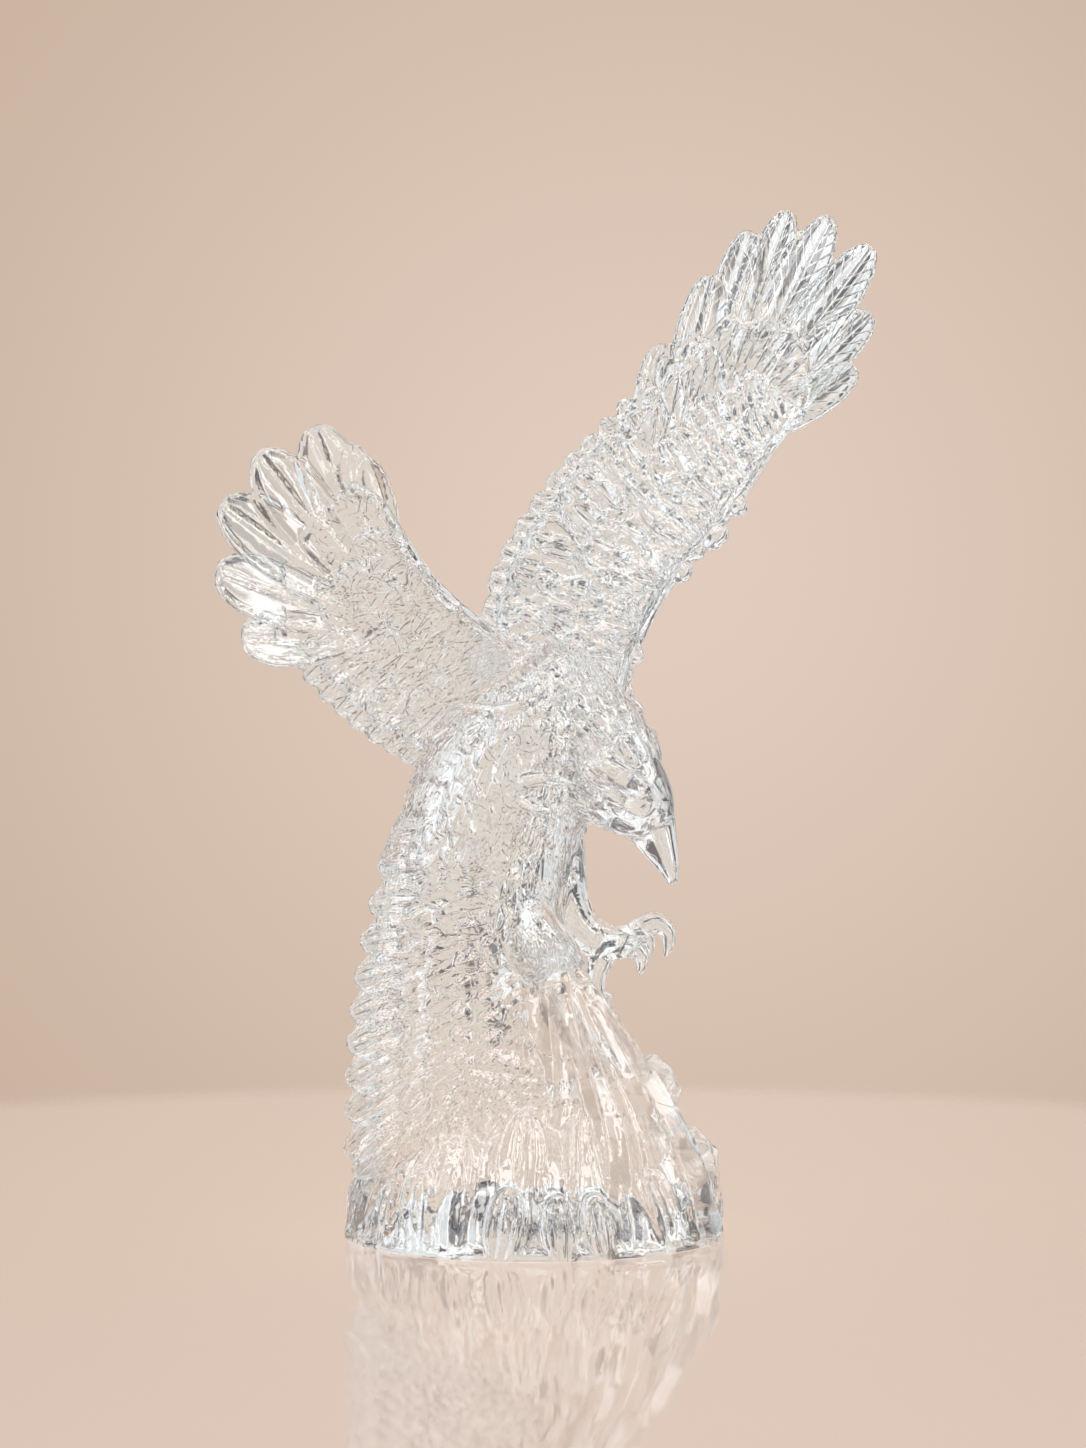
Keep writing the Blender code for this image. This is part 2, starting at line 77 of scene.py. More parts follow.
Array = np.ndarray
Pair = tuple[float, float]
Triple = tuple[float, float, float]
Colour = tuple[float, float, float, float]
Rows = Sequence[Sequence[float]]


class Face(Enum):
    """The side of a sheet of glass that a row of feathers lies on."""

    FRONT = -1
    EDGE = 0
    BACK = 1


def unit_vector(way: Array) -> Array:
    """The direction of a vector."""
    return way / np.linalg.norm(way)


def smooth_rows(rows: Rows, t: float | Array) -> Array:
    """Samples a smooth curve through equally spaced rows of numbers.

    Args:
        rows: The rows the curve passes through.
        t: Shares of the way along, 0 to 1.

    Returns:
        A row of numbers for each share.
    """
    table = np.asarray(rows, float)
    place = np.clip(np.atleast_1d(t), 0.0, 1.0) * (len(table) - 1)
    start = np.minimum(place.astype(int), len(table) - 2)
    f = (place - start)[:, None]
    a, b, c, d = (table[np.clip(start + k, 0, len(table) - 1)] for k in (-1, 0, 1, 2))
    return 0.5 * (
        2 * b
        + f * (c - a)
        + f * f * (2 * a - 5 * b + 4 * c - d)
        + f**3 * (3 * b - a - 3 * c + d)
    )


def smooth_row(rows: Rows, t: float) -> Array:
    """The one row at the share t of a smooth curve."""
    return smooth_rows(rows, t)[0]


def leaf_width(t: Array, blunt: float | Array) -> Array:
    """A leaf's width at shares of its length, as a share of the greatest.

    Args:
        t: Shares of the way from root to tip.
        blunt: Where the round tip starts.

    Returns:
        A share for each.
    """
    swell = ROOT_WIDTH + (1 - ROOT_WIDTH) * np.sin(np.minimum(t / WIDEST_AT, 1.0) * math.pi / 2)
    past = np.maximum(t - blunt, 0) / (CLOSED_AT - blunt)
    return swell * np.sqrt(np.maximum(1 - past**TIP_POWER, 0))


def level_ring(x: float, y: float, wide: float | Array, deep: float | Array, angles: Array,
               z: float) -> Array:
    """The points of an ellipse, or of a curve whose radii change with the angle, at the height z."""
    return np.stack([x + wide * np.cos(angles), y + deep * np.sin(angles), np.full(len(angles), z)], -1)


def stray_angle(rng: random.Random, i: int, row: int, count: float, stray: float) -> float:
    """The angle of feather i in a row of count feathers. Rows are staggered, and it strays some steps."""
    return math.tau * (i + 0.5 * (row % 2) + rng.uniform(-stray, stray)) / count


@dataclass(frozen=True)
class Skin:
    """How a solid's surface is cut, and the frame that the cutting follows.

    Barbs, ripples and lines are the depths of the three cuts, as shares of what the finish gives them.
    The barbs slant from a shaft that starts at root and runs ahead; side points across it.
    The lines run from root to tip side by side, and close up with the leaf's outline, which its length, its
    half width and the place where its tip starts give.
    """

    barbs: float = 0.0
    ripples: float = 0.4
    lines: float = 0.0
    root: Triple = (0.0, 0.0, 0.0)
    ahead: Triple = (0.0, 0.0, 1.0)
    side: Triple = (1.0, 0.0, 0.0)
    length: float = 1.0
    half: float = 1.0
    blunt: float = 0.6


@dataclass(frozen=True)
class Cut:
    """How a feather is shaped across: pairs of a place across it and a share of its half thickness."""

    section: tuple[Pair, ...]
    steps: int
    blunt: float


FLIGHT_CUT = Cut(
    section=((-1.0, 0.5), (-0.86, 0.95), (-0.7, 0.5), (-0.14, 0.5), (0.0, 1.0)),
    steps=14,
    blunt=0.62,
)
LOBE_CUT = Cut(
    section=((-1.0, 0.45), (-0.8, 0.95), (-0.5, 0.35), (-0.2, 0.45), (0.0, 1.0)),
    steps=9,
    blunt=0.6,
)
COVERT_CUT = Cut(section=((-1.0, 0.3), (-0.66, 0.66), (-0.3, 0.5), (0.0, 1.0)), steps=6, blunt=0.58)


@dataclass
class Casting:
    """The overlapping closed solids that are fused into one piece, and the skin of each of their faces.

    Fold pitch says how close the folds round a limb follow each other. A feather's rings crowd towards its
    tip, and it thins towards it. A lump's points wander round it and in and out.
    """

    fold_pitch: float = 1.3
    crowding: float = 1.5
    thinning: float = 0.3
    lump_wander: float = 0.3
    lump_sizes: Pair = (0.94, 1.04)
    skins: list[Skin] = field(default_factory=list)
    points: list[Array] = field(default_factory=list)
    triangles: list[Array] = field(default_factory=list)
    owners: list[Array] = field(default_factory=list)
    count: int = 0

    def add(self, points: Array, triangles: Array, skin: Skin) -> None:
        """Adds one closed solid, in drawing units.

        Args:
            points: Its points.
            triangles: Its faces, as rows of three point numbers.
            skin: How its surface is cut.
        """
        self.points.append(points)
        self.triangles.append(triangles + self.count)
        self.owners.append(np.full(len(triangles), len(self.skins)))
        self.skins.append(skin)
        self.count += len(points)

    def bridge(self, rings: Array, skin: Skin) -> None:
        """Adds the closed solid over a stack of rings.

        Args:
            rings: Points as an array of ring, place in the ring and coordinate.
            skin: How its surface is cut.
        """
        number, around, _ = rings.shape
        ids = np.arange(number * around).reshape(number, around)
        low, high = ids[:-1], ids[1:]
        next_low, next_high = np.roll(low, -1, axis=1), np.roll(high, -1, axis=1)
        walls = [
            np.stack(corners, -1).reshape(-1, 3)
            for corners in ((low, next_low, next_high), (low, next_high, high))
        ]
        fan = np.arange(1, around - 1)
        first, last = ids[0], ids[-1]
        caps = [
            np.stack([np.full(fan.shape, first[0]), first[fan + 1], first[fan]], -1),
            np.stack([np.full(fan.shape, last[0]), last[fan], last[fan + 1]], -1),
        ]
        self.add(rings.reshape(-1, 3), np.concatenate(walls + caps), skin)

    def limb(self, stations: Rows, steps: int, sides: int = 12, flat: float = 1.0, rings: float = 0.0,
             skin: Skin = Skin()) -> None:
        """Adds a tapered limb on a smooth curve through stations of x, y, z and radius.

        Args:
            stations: The stations.
            steps: How many parts it has along its length.
            sides: How many sides it has.
            flat: Its narrowness along Y.
            rings: How deep the folds round it are, as a share of the radius.
            skin: How its surface is cut.
        """
        rows = smooth_rows(stations, np.linspace(0, 1, steps + 1))
        ahead = np.gradient(rows[:, :3], axis=0)
        up = np.cross(ahead, BACKWARD)
        up /= np.linalg.norm(up, axis=1)[:, None]
        side = np.cross(up, ahead)
        side /= np.linalg.norm(side, axis=1)[:, None]
        angles = math.tau * np.arange(sides) / sides
        radius = rows[:, 3] * (1 + rings * np.cos(self.fold_pitch * np.arange(steps + 1)))
        out = up[:, None] * np.cos(angles)[:, None] + side[:, None] * (flat * np.sin(angles))[:, None]
        self.bridge(rows[:, None, :3] + radius[:, None, None] * out, skin)

    def feather(self, root: Array, tip: Array, across: Array, width: float, thick: float,
                cut: Cut = COVERT_CUT, bow: float = 0.0, barbs: float = 0.0, ripples: float = 0.1,
                lines: float = 1.0) -> None:
        """Adds a feather: a leaf with rolled rims, hollow flanks and a raised shaft on both faces.

        Args:
            root: Where it springs.
            tip: Where it ends.
            across: A direction across it.
            width: Its greatest width.
            thick: Its thickness at the shaft.
            cut: Its shape across.
            bow: How far its middle stands off the straight line.
            barbs: How deep the barbs are cut.
            ripples: How strong the casting's ripples are on it.
            lines: How deep the lines along it are cut.
        """
        length = np.linalg.norm(tip - root)
        ahead = (tip - root) / length
        face = unit_vector(np.cross(ahead, across))
        side = unit_vector(np.cross(face, ahead))
        t = (1 - (1 - np.linspace(0, 1, cut.steps + 1)) ** self.crowding)[:, None]
        half = 0.5 * width * leaf_width(t, cut.blunt)
        rise = 0.5 * thick * (1 - self.thinning * t)
        places, heights = np.array(cut.section).T
        u = np.concatenate([places, -places[-2::-1], -places, places[-2::-1]])
        h = np.concatenate([heights, heights[-2::-1], -heights, -heights[-2::-1]])
        middle = root + ahead * (t * length) + face * (bow * np.sin(math.pi * t))
        rings = (
            middle[:, None]
            + side * (half * u)[:, :, None]
            + face * (rise * h)[:, :, None]
        )
        skin = Skin(barbs, ripples, lines, tuple(root), tuple(ahead), tuple(side), length, 0.5 * width,
                    cut.blunt)
        self.bridge(rings, skin)

    def boulder(self, centre: Sequence[float], radii: Sequence[float], seed: int, points: int = 34) -> None:
        """Adds a broken lump: the hull of points scattered over an egg.

        Args:
            centre: Its middle.
            radii: Its half sizes along X, Y and Z.
            seed: What the scatter is drawn from.
            points: How many points are scattered.
        """
        rng = random.Random(seed)
        bm = bmesh.new()
        for i in range(points):
            up = 1 - 2 * (i + 0.5) / points
            # The golden angle keeps each point clear of those before it.
            angle = i * math.pi * (3 - math.sqrt(5)) + rng.uniform(-self.lump_wander, self.lump_wander)
            flat = math.sqrt(1 - up * up)
            way = np.array((flat * math.cos(angle), flat * math.sin(angle), up))
            bm.verts.new(np.array(centre) + np.array(radii) * (way * rng.uniform(*self.lump_sizes)))
        hull = bmesh.ops.convex_hull(bm, input=bm.verts)
        spare = [e for e in hull["geom_interior"] if isinstance(e, bmesh.types.BMVert)]
        bmesh.ops.delete(bm, geom=spare, context="VERTS")
        bmesh.ops.triangulate(bm, faces=bm.faces)
        bm.verts.index_update()
        places = np.array([v.co for v in bm.verts])
        faces = np.array([[v.index for v in f.verts] for f in bm.faces])
        bm.free()
        self.add(places, faces, Skin(ripples=0.1))

    def soup(self) -> tuple[Array, Array, Array]:
        """All points in metres, all triangles, and the number of the solid that each triangle is of."""
        return np.concatenate(self.points) * UNIT, np.concatenate(self.triangles), np.concatenate(self.owners)


@dataclass
class Trunk:
    """The body, from the rock to the shoulders: ellipses stacked up the height."""

    # Height, left edge, right edge, half depth, middle of the depth.
    outline: Rows = (
        (-4, -52, 48, 49, 0),
        (12, -51.5, 44, 43, 0),
        (28, -51, 34, 35.5, 1),
        (44, -50.5, 25, 32, 2),
        (60, -50, 13, 30.5, 2),
        (76, -48.5, 5.5, 28.5, 1),
        (92, -46.5, 5.5, 26, 0),
        (108, -42.5, 9, 24.5, -2),
        (124, -35.5, 13.5, 24, -4),
        (140, -30, 18, 23, -5),
        (152, -22, 21.5, 20.5, -4),
        (162, -10, 20, 16, -1),
        (168, 1, 14, 9, 1),
    )
    sides: int = 36
    levels: int = 30

    def section(self, z: float) -> tuple[float, float, float, float]:
        """The trunk's ellipse at a height.

        Args:
            z: The height.

        Returns:
            Its middle x, its middle y, its half width and its half depth.
        """
        heights = [row[0] for row in self.outline]
        place = np.interp(z, heights, range(len(heights))) / (len(heights) - 1)
        _, left, right, depth, middle = smooth_row(self.outline, place)
        return (left + right) / 2, middle, (right - left) / 2, depth

    def skin(self, x: float, z: float, face: Face) -> Array:
        """The point over (x, z) on the front or back skin.

        Args:
            x: Its place across; past the trunk's side, the side's own depth counts.
            z: Its height.
            face: The face that it is on.

        Returns:
            The point.
        """
        middle_x, middle_y, half_width, half_depth = self.section(z)
        share = min(abs(x - middle_x) / half_width, 1.0)
        return np.array((x, middle_y + face.value * half_depth * math.sqrt(1 - share * share), z))

    def round_point(self, angle: float, z: float) -> tuple[Array, Array]:
        """A point of the skin, by the angle round the trunk.

        Args:
            angle: The angle, from the right and on towards the back.
            z: Its height.

        Returns:
            The point, and the way straight out from it.
        """
        x, y, half_width, half_depth = self.section(z)
        out = unit_vector(np.array((math.cos(angle) / half_width, math.sin(angle) / half_depth, 0)))
        return np.array((x + half_width * math.cos(angle), y + half_depth * math.sin(angle), z)), out

    def build(self, casting: Casting) -> None:
        """Adds the plain trunk.

        Args:
            casting: Where its solids go.
        """
        angles = math.tau * np.arange(self.sides) / self.sides
        rings = []
        for z in np.linspace(self.outline[0][0], self.outline[-1][0], self.levels):
            rings.append(level_ring(*self.section(z), angles, z))
        casting.bridge(np.array(rings), Skin(ripples=0.1))


@dataclass
class Plumage:
    """The body's feathers, which overlap downwards from the shoulders to the rump.

    Below the height bare_below, the tail fan takes their place where the cosine of the angle round the trunk
    is less than bare_side. From a sine of back_from on, feathers are on the back, fewer and larger. Thicks
    are the thickness in front and behind.
    """

    trunk: Trunk
    lowest: float = 86.0
    highest: float = 166.0
    bare_below: float = 112.0
    bare_side: float = 0.3
    spacing: float = 4.8
    count: int = 26
    width: float = 6.0
    length: float = 13.0
    back_from: float = 0.2
    back_scale: float = 2.0
    front_scales: Pair = (0.9, 1.2)
    wander: float = 0.2
    turn: float = 0.09
    breadths: Pair = (0.85, 1.15)
    front_lifts: Pair = (2.0, 3.2)
    back_lift: float = 0.6
    thicks: Pair = (3.4, 2.4)
    seed: int = 11

    def build(self, casting: Casting) -> None:
        """Adds rows of small feathers right round the body, none quite like the next.

        Args:
            casting: Where its solids go.
        """
        rng = random.Random(self.seed)
        for row, z in enumerate(np.arange(self.lowest, self.highest, self.spacing)):
            for i in range(self.count):
                angle = stray_angle(rng, i, row, self.count, self.wander)
                behind = math.sin(angle) > self.back_from
                if behind and (row % 3 or i % 2):
                    continue
                if z < self.bare_below and math.cos(angle) < self.bare_side:
                    continue
                scale = self.back_scale if behind else rng.uniform(*self.front_scales)
                turn = rng.uniform(-self.turn, self.turn)
                root, _ = self.trunk.round_point(angle, z + 0.5 * self.length * scale)
                tip, out = self.trunk.round_point(angle + turn, z - 0.5 * self.length * scale)
                width = self.width * scale * rng.uniform(*self.breadths)
                tip = tip + out * (self.back_lift if behind else rng.uniform(*self.front_lifts))
                casting.feather(root, tip, np.cross(out, tip - root), width, self.thicks[behind],
                                ripples=0.6, lines=0.8)


@dataclass(frozen=True)
class CovertRow:
    """A row of feathers laid across a wing, from where along the wing it starts.

    Root and tip are shares of the way from the wing's leading edge to its trailing edge.
    """

    root: float
    tip: float
    count: int
    width: float
    thick: float
    start: float = 0.0


@dataclass
class Wing:
    """A wing drawn in the XZ plane, with its depth falling back or forward from root to tip.

    Sections hold the leading edge's x and z, the trailing edge's x and z, and the thickness.
    Primaries hold the root's x and z, the tip's x and z, and the width.
    The depth goes from the first to the second of the depths along the axis. The leans say how far feathers
    lean along the wing at its root and at its tip. The rows of feathers end at the share that is covered, and
    a widening below 0 sets them further apart at the root. Each row of the mantle is the share of the blade
    where its feathers end, their length and their width.
    """

    sections: Rows
    axis: tuple[Pair, Pair]
    depths: Pair
    leans: Pair
    covered: float
    primaries: Rows
    secondaries: CovertRow
    coverts: tuple[CovertRow, ...]
    mantle: tuple[Triple, ...]
    covert_cut: Cut
    barbs: float
    ripples: float
    widening: float
    blade_thick: float
    lines: float = 1.0
    rim_radius: float = 1.8
    # The plainer feathers behind: how much wider than those in front, and how thick.
    back_width: float = 1.8
    back_thick: float = 3.0
    layer_step: float = 1.2
    looseness: float = 0.03
    seed: int = 3
    # How hollow the sheet is in front and how much less at the wingtip, how far the leading edge stands
    # forward of the trailing edge, and how much thinner the arm is at the trailing edge.
    camber: float = 5.0
    flattening: float = 0.4
    tilt: float = 7.0
    thinning: float = 0.62
    # The arm's lens section: shares of the way across, and the face that each is on.
    lens: tuple[tuple[float, int], ...] = (
        (0.0, 0), (0.06, -1), (0.3, -1), (0.62, -1), (0.98, 0), (0.62, 1), (0.3, 1), (0.06, 1))
    # How far the blades' roots are set back, and how much the blades are turned to the front.
    blade_setback: float = 3.0
    blade_turn: float = 0.25
    mantle_wander: float = 0.15
    mantle_lift: float = 2.4
    mantle_thick: float = 2.6
    # How far feathers stray from their place in a row and across the wing, and where a row is at the edge.
    stray: float = 0.2
    shift: float = 0.08
    edge_from: float = 0.9
    # How strongly widening acts on the feathers' breadth, and the least breadth.
    broadening: float = 1.3
    least_breadth: float = 0.75
    # The step along the wing over which its direction is taken, as a share.
    direction_step: float = 0.05
    # How far tips are lifted in front, and behind where the feathers there are as thick as plain_thick.
    front_lift: float = 1.0
    back_lift: float = 0.2
    plain_thick: float = 3.0
    # Where the rolled leading edge starts along the wing, and how far in from the edge it lies.
    rim_from: float = 0.1
    rim_inset: float = 0.01
    # How much the mantle's feathers differ in reach and in width.
    mantle_reaches: Pair = (0.94, 1.06)
    mantle_widths: Pair = (0.9, 1.1)
    # The share of the arm's thickness that a row lies at, and the shares of the lift at its root and tip.
    row_level: float = 0.46
    end_lifts: Pair = (-1.2, 1.6)
    # How much nearer the leading edge the back rows' roots are, and the nearest that they come.
    back_overlap: float = 0.1
    first_root: float = 0.06

    def depth(self, x: float, z: float) -> float:
        """How far back the wing lies.

        Args:
            x: The place across.
            z: The height.

        Returns:
            The depth, more towards the back.
        """
        root = np.array(self.axis[0])
        axis = np.array(self.axis[1]) - root
        along = (np.array((x, z)) - root).dot(axis) / axis.dot(axis)
        return self.depths[0] + (self.depths[1] - self.depths[0]) * along

    def point(self, s: float, c: float, lift: float = 0.0) -> Array:
        """The point a share s along the wing and c from the leading edge, lifted off the middle sheet.

        The sheet is hollow in front, and the leading edge stands forward of the trailing edge.

        Args:
            s: The share of the way from the wing's root to its tip.
            c: The share of the way from the leading edge to the trailing edge.
            lift: How far back it is from the sheet.

        Returns:
            The point.
        """
        lead_x, lead_z, trail_x, trail_z, _ = smooth_row(self.sections, s)
        x = lead_x + (trail_x - lead_x) * c
        z = lead_z + (trail_z - lead_z) * c
        inside = min(max(c, 0.0), 1.0)
        hollow = self.camber * (4 * inside * (1 - inside)) * (1 - self.flattening * s)
        return np.array((x, self.depth(x, z) + hollow + self.tilt * (c - 0.5) + lift, z))

    def thickness(self, s: float, c: float) -> float:
        """The arm is thick near the leading edge and thins towards the trailing edge."""
        return smooth_row(self.sections, s)[4] * (1.0 - self.thinning * min(max(c, 0.0), 1.0))

    def across(self, s: float, c: float) -> Array:
        """The direction along the wing."""
        step = self.direction_step
        return self.point(min(s + step, 1.0), c) - self.point(max(s - step, 0.0), c)

    def lift(self, face: Face) -> float:
        """How far back the tips on a face are lifted, further where its feathers are thicker."""
        behind = self.back_lift * (self.back_thick / self.plain_thick)
        return {Face.FRONT: -self.front_lift, Face.EDGE: 0.0, Face.BACK: behind}[face]

    def build_arm(self, casting: Casting, steps: int = 20) -> None:
        """Adds the fleshy part, flat lens sections from root to fingertip, and its rolled leading edge.

        Args:
            casting: Where its solids go.
            steps: How many parts it has along its length.
        """
        rings = []
        for s in np.linspace(0, 1, steps + 1):
            rings.append([self.point(s, c, 0.5 * f * self.thickness(s, c)) for c, f in self.lens])
        casting.bridge(np.array(rings), Skin(ripples=self.ripples))
        places = np.linspace(self.rim_from, 1.0, 8)
        rim = [(*self.point(s, self.rim_inset), self.rim_radius) for s in places]
        casting.limb(rim, 24, sides=10, skin=Skin(ripples=0.1))

    def blade(self, number: float) -> tuple[Array, Array, Array, float]:
        """The line of a flight feather, also of one between two others.

        Args:
            number: Its number from the leading edge, which may be a fraction.

        Returns:
            Its root, its tip, a direction across it and its width.
        """
        root_x, root_z, tip_x, tip_z, width = smooth_row(self.primaries, number / (len(self.primaries) - 1))
        root = np.array((root_x, self.depth(root_x, root_z) + self.blade_setback, root_z))
        tip = np.array((tip_x, self.depth(tip_x, tip_z), tip_z))
        ahead = tip - root
        return root, tip, np.array((ahead[2], self.blade_turn * np.linalg.norm(ahead), -ahead[0])), width

    def build_primaries(self, casting: Casting) -> None:
        """Adds the long clear flight feathers that fan out past the hand.

        Args:
            casting: Where its solids go.
        """
        for number in range(len(self.primaries)):
            root, tip, across, width = self.blade(number)
            layer = np.array((0.0, self.layer_step * (number % 2 - 0.5), 0.0))
            casting.feather(root + layer, tip + layer, across, width, self.blade_thick, FLIGHT_CUT,
                            bow=1.0, barbs=self.barbs, ripples=0.0, lines=0.0)

    def build_mantle(self, casting: Casting) -> None:
        """Adds the small feathers that cover the roots of the flight feathers on both faces.

        Args:
            casting: Where its solids go.
        """
        rng = random.Random(self.seed)
        last = len(self.primaries) - 1
        for reach, length, width in self.mantle:
            for face in (Face.FRONT, Face.BACK):
                for k in range(2 * last + 1):
                    stray = rng.uniform(-self.mantle_wander, self.mantle_wander)
                    number = min(max(k / 2 + stray, 0), last)
                    root, tip, across, _ = self.blade(number)
                    span = np.linalg.norm(tip - root)
                    end = root + (tip - root) * (reach * rng.uniform(*self.mantle_reaches))
                    start = end - (tip - root) * (length / span)
                    lift = np.array((0.0, face.value, 0.0))
                    casting.feather(start + lift, end + lift * self.mantle_lift, across,
                                    width * rng.uniform(*self.mantle_widths), self.mantle_thick)

    def build_row(self, casting: Casting, row: CovertRow, face: Face) -> None:
        """Adds a row of feathers across the wing, on one face or at the edge.

        Towards the wingtip they lean more and more along the wing, and they are broader at the root.

        Args:
            casting: Where its solids go.
            row: The row.
            face: The face that it lies on.
        """
        rng = random.Random(self.seed * 100 + int(97 * row.tip) + face.value)
        edge = face is Face.EDGE
        lift = self.lift(face)
        for i in range(row.count):
            place = (i + (0 if edge else rng.uniform(-self.stray, self.stray))) / (row.count - 1)
            share = min(max(place, 0.0), 1.0)
            s = row.start + (self.covered - row.start) * (share - self.widening * share * (1 - share))
            broad = max(1 - self.broadening * self.widening * (1 - 2 * share), self.least_breadth)
            lean = (self.leans[0] + (self.leans[1] - self.leans[0]) * s) * (row.tip - row.root)
            loose = 0.0 if edge else rng.uniform(-self.looseness, self.looseness)
            shift = 0.0 if edge or row.tip > self.edge_from else rng.uniform(0.0, self.shift)
            # The roots start just under the arm's skin and the tips stand off it.
            levels = [
                self.row_level * face.value * self.thickness(s, c) + share_of_lift * lift
                for c, share_of_lift in zip((row.root, row.tip), self.end_lifts)
            ]
            root = self.point(s - 0.5 * lean, row.root + shift, levels[0])
            tip = self.point(min(s + 0.5 * lean + loose, 1.0), row.tip + shift, levels[1])
            casting.feather(root, tip, self.across(s, row.root), row.width * broad, row.thick * broad,
                            self.covert_cut, ripples=self.ripples, lines=self.lines)

    def build(self, casting: Casting) -> None:
        """Adds the arm, the flight feathers and the coverts on both faces.

        Args:
            casting: Where its solids go.
        """
        self.build_arm(casting)
        self.build_primaries(casting)
        self.build_mantle(casting)
        self.build_row(casting, self.secondaries, Face.EDGE)
        for number, row in enumerate(self.coverts):
            self.build_row(casting, row, Face.FRONT)
            if number % 2 == 0:
                root = max(row.root - self.back_overlap, self.first_root)
                width = self.back_width * row.width
                broad = CovertRow(root, row.tip, row.count // 2, width, self.back_thick, row.start)
                self.build_row(casting, broad, Face.BACK)


LEFT_WING = Wing(
    sections=(
        (26, 158, -9, 168, 15),
        (30.5, 173, -10, 184, 12.5),
        (37.5, 186, -5, 198, 11),
        (45.5, 197, 2.5, 211, 10),
        (55, 207.5, 12, 224, 9),
        (64, 220, 23, 236, 7.5),
        (72.5, 233.5, 35.5, 250, 5.5),
        (82, 243.5, 51, 266, 4),
    ),
    axis=((7.5, 170), (81, 290)),
    depths=(10, 48),
    leans=(-0.04, 0.3),
    covered=0.96,
    primaries=(
        (67, 236, 98.5, 257.5, 13),
        (64, 238, 103.5, 275, 15.5),
        (62, 239, 104, 296, 17),
        (59, 241, 91.5, 305.5, 16),
        (55, 242, 78.5, 307, 15),
        (50, 240, 66.5, 300.5, 15),
        (43, 236, 54.5, 286, 15),
        (35, 229, 40, 264.5, 15),
    ),
    secondaries=CovertRow(0.45, 1.13, 16, 12.5, 3.8, start=0.04),
    coverts=(
        CovertRow(0.68, 1.0, 13, 11.0, 6.6, start=0.05),
        CovertRow(0.5, 0.82, 13, 11.0, 6.6, start=0.03),
        CovertRow(0.32, 0.64, 14, 10.5, 6.6, start=0.02),
        CovertRow(0.16, 0.46, 15, 10.0, 6.6),
        CovertRow(0.04, 0.3, 16, 9.5, 6.2),
    ),
    mantle=((0.46, 18, 7), (0.35, 17, 6.5), (0.24, 16, 6.5)),
    covert_cut=LOBE_CUT,
    barbs=1.0,
    ripples=0.3,
    lines=0.6,
    back_thick=6.5,
    widening=-0.42,
    blade_thick=3.3,
)

RIGHT_WING = Wing(
    sections=(
        (4, 163, -26, 139, 15),
        (-7, 172, -34, 142, 12.5),
        (-16.5, 179, -42, 147, 11),
        (-25, 186, -50, 153, 10),
        (-32, 194, -57, 160, 8.5),
        (-37.5, 202.5, -64, 168, 6),
        (-43, 211, -70, 178, 3.2),
        (-51, 216, -74, 190, 2.6),
    ),
    axis=((-10.5, 161), (-74, 209)),
    depths=(-10, -50),
    leans=(0.1, 0.3),
    covered=0.76,
    primaries=(
        (-39, 196, -47, 223, 10),
        (-42, 194, -52.5, 227, 13),
        (-45, 191, -61.5, 231.5, 18),
        (-48, 188, -76.5, 224, 19),
        (-50, 184, -86.5, 210, 19),
        (-52, 179, -88.5, 191.5, 19),
        (-53, 174, -82, 173, 17),
    ),
    secondaries=CovertRow(0.45, 1.13, 10, 12.5, 3.6, start=0.04),
    coverts=(
        CovertRow(0.7, 0.99, 17, 5.6, 4.2, start=0.04),
        CovertRow(0.54, 0.84, 18, 5.4, 4.2, start=0.03),
        CovertRow(0.4, 0.7, 18, 5.2, 4.2, start=0.02),
        CovertRow(0.27, 0.56, 19, 5.0, 4.2),
        CovertRow(0.14, 0.42, 19, 5.0, 4.2),
        CovertRow(0.04, 0.28, 20, 4.8, 4.2),
        CovertRow(0.0, 0.16, 20, 4.6, 3.4),
    ),
    mantle=((0.16, 10, 5.0), (0.05, 10, 5.0)),
    covert_cut=COVERT_CUT,
    barbs=0.1,
    ripples=0.6,
    widening=0.0,
    blade_thick=3.5,
    looseness=0.08,
    seed=5,
)


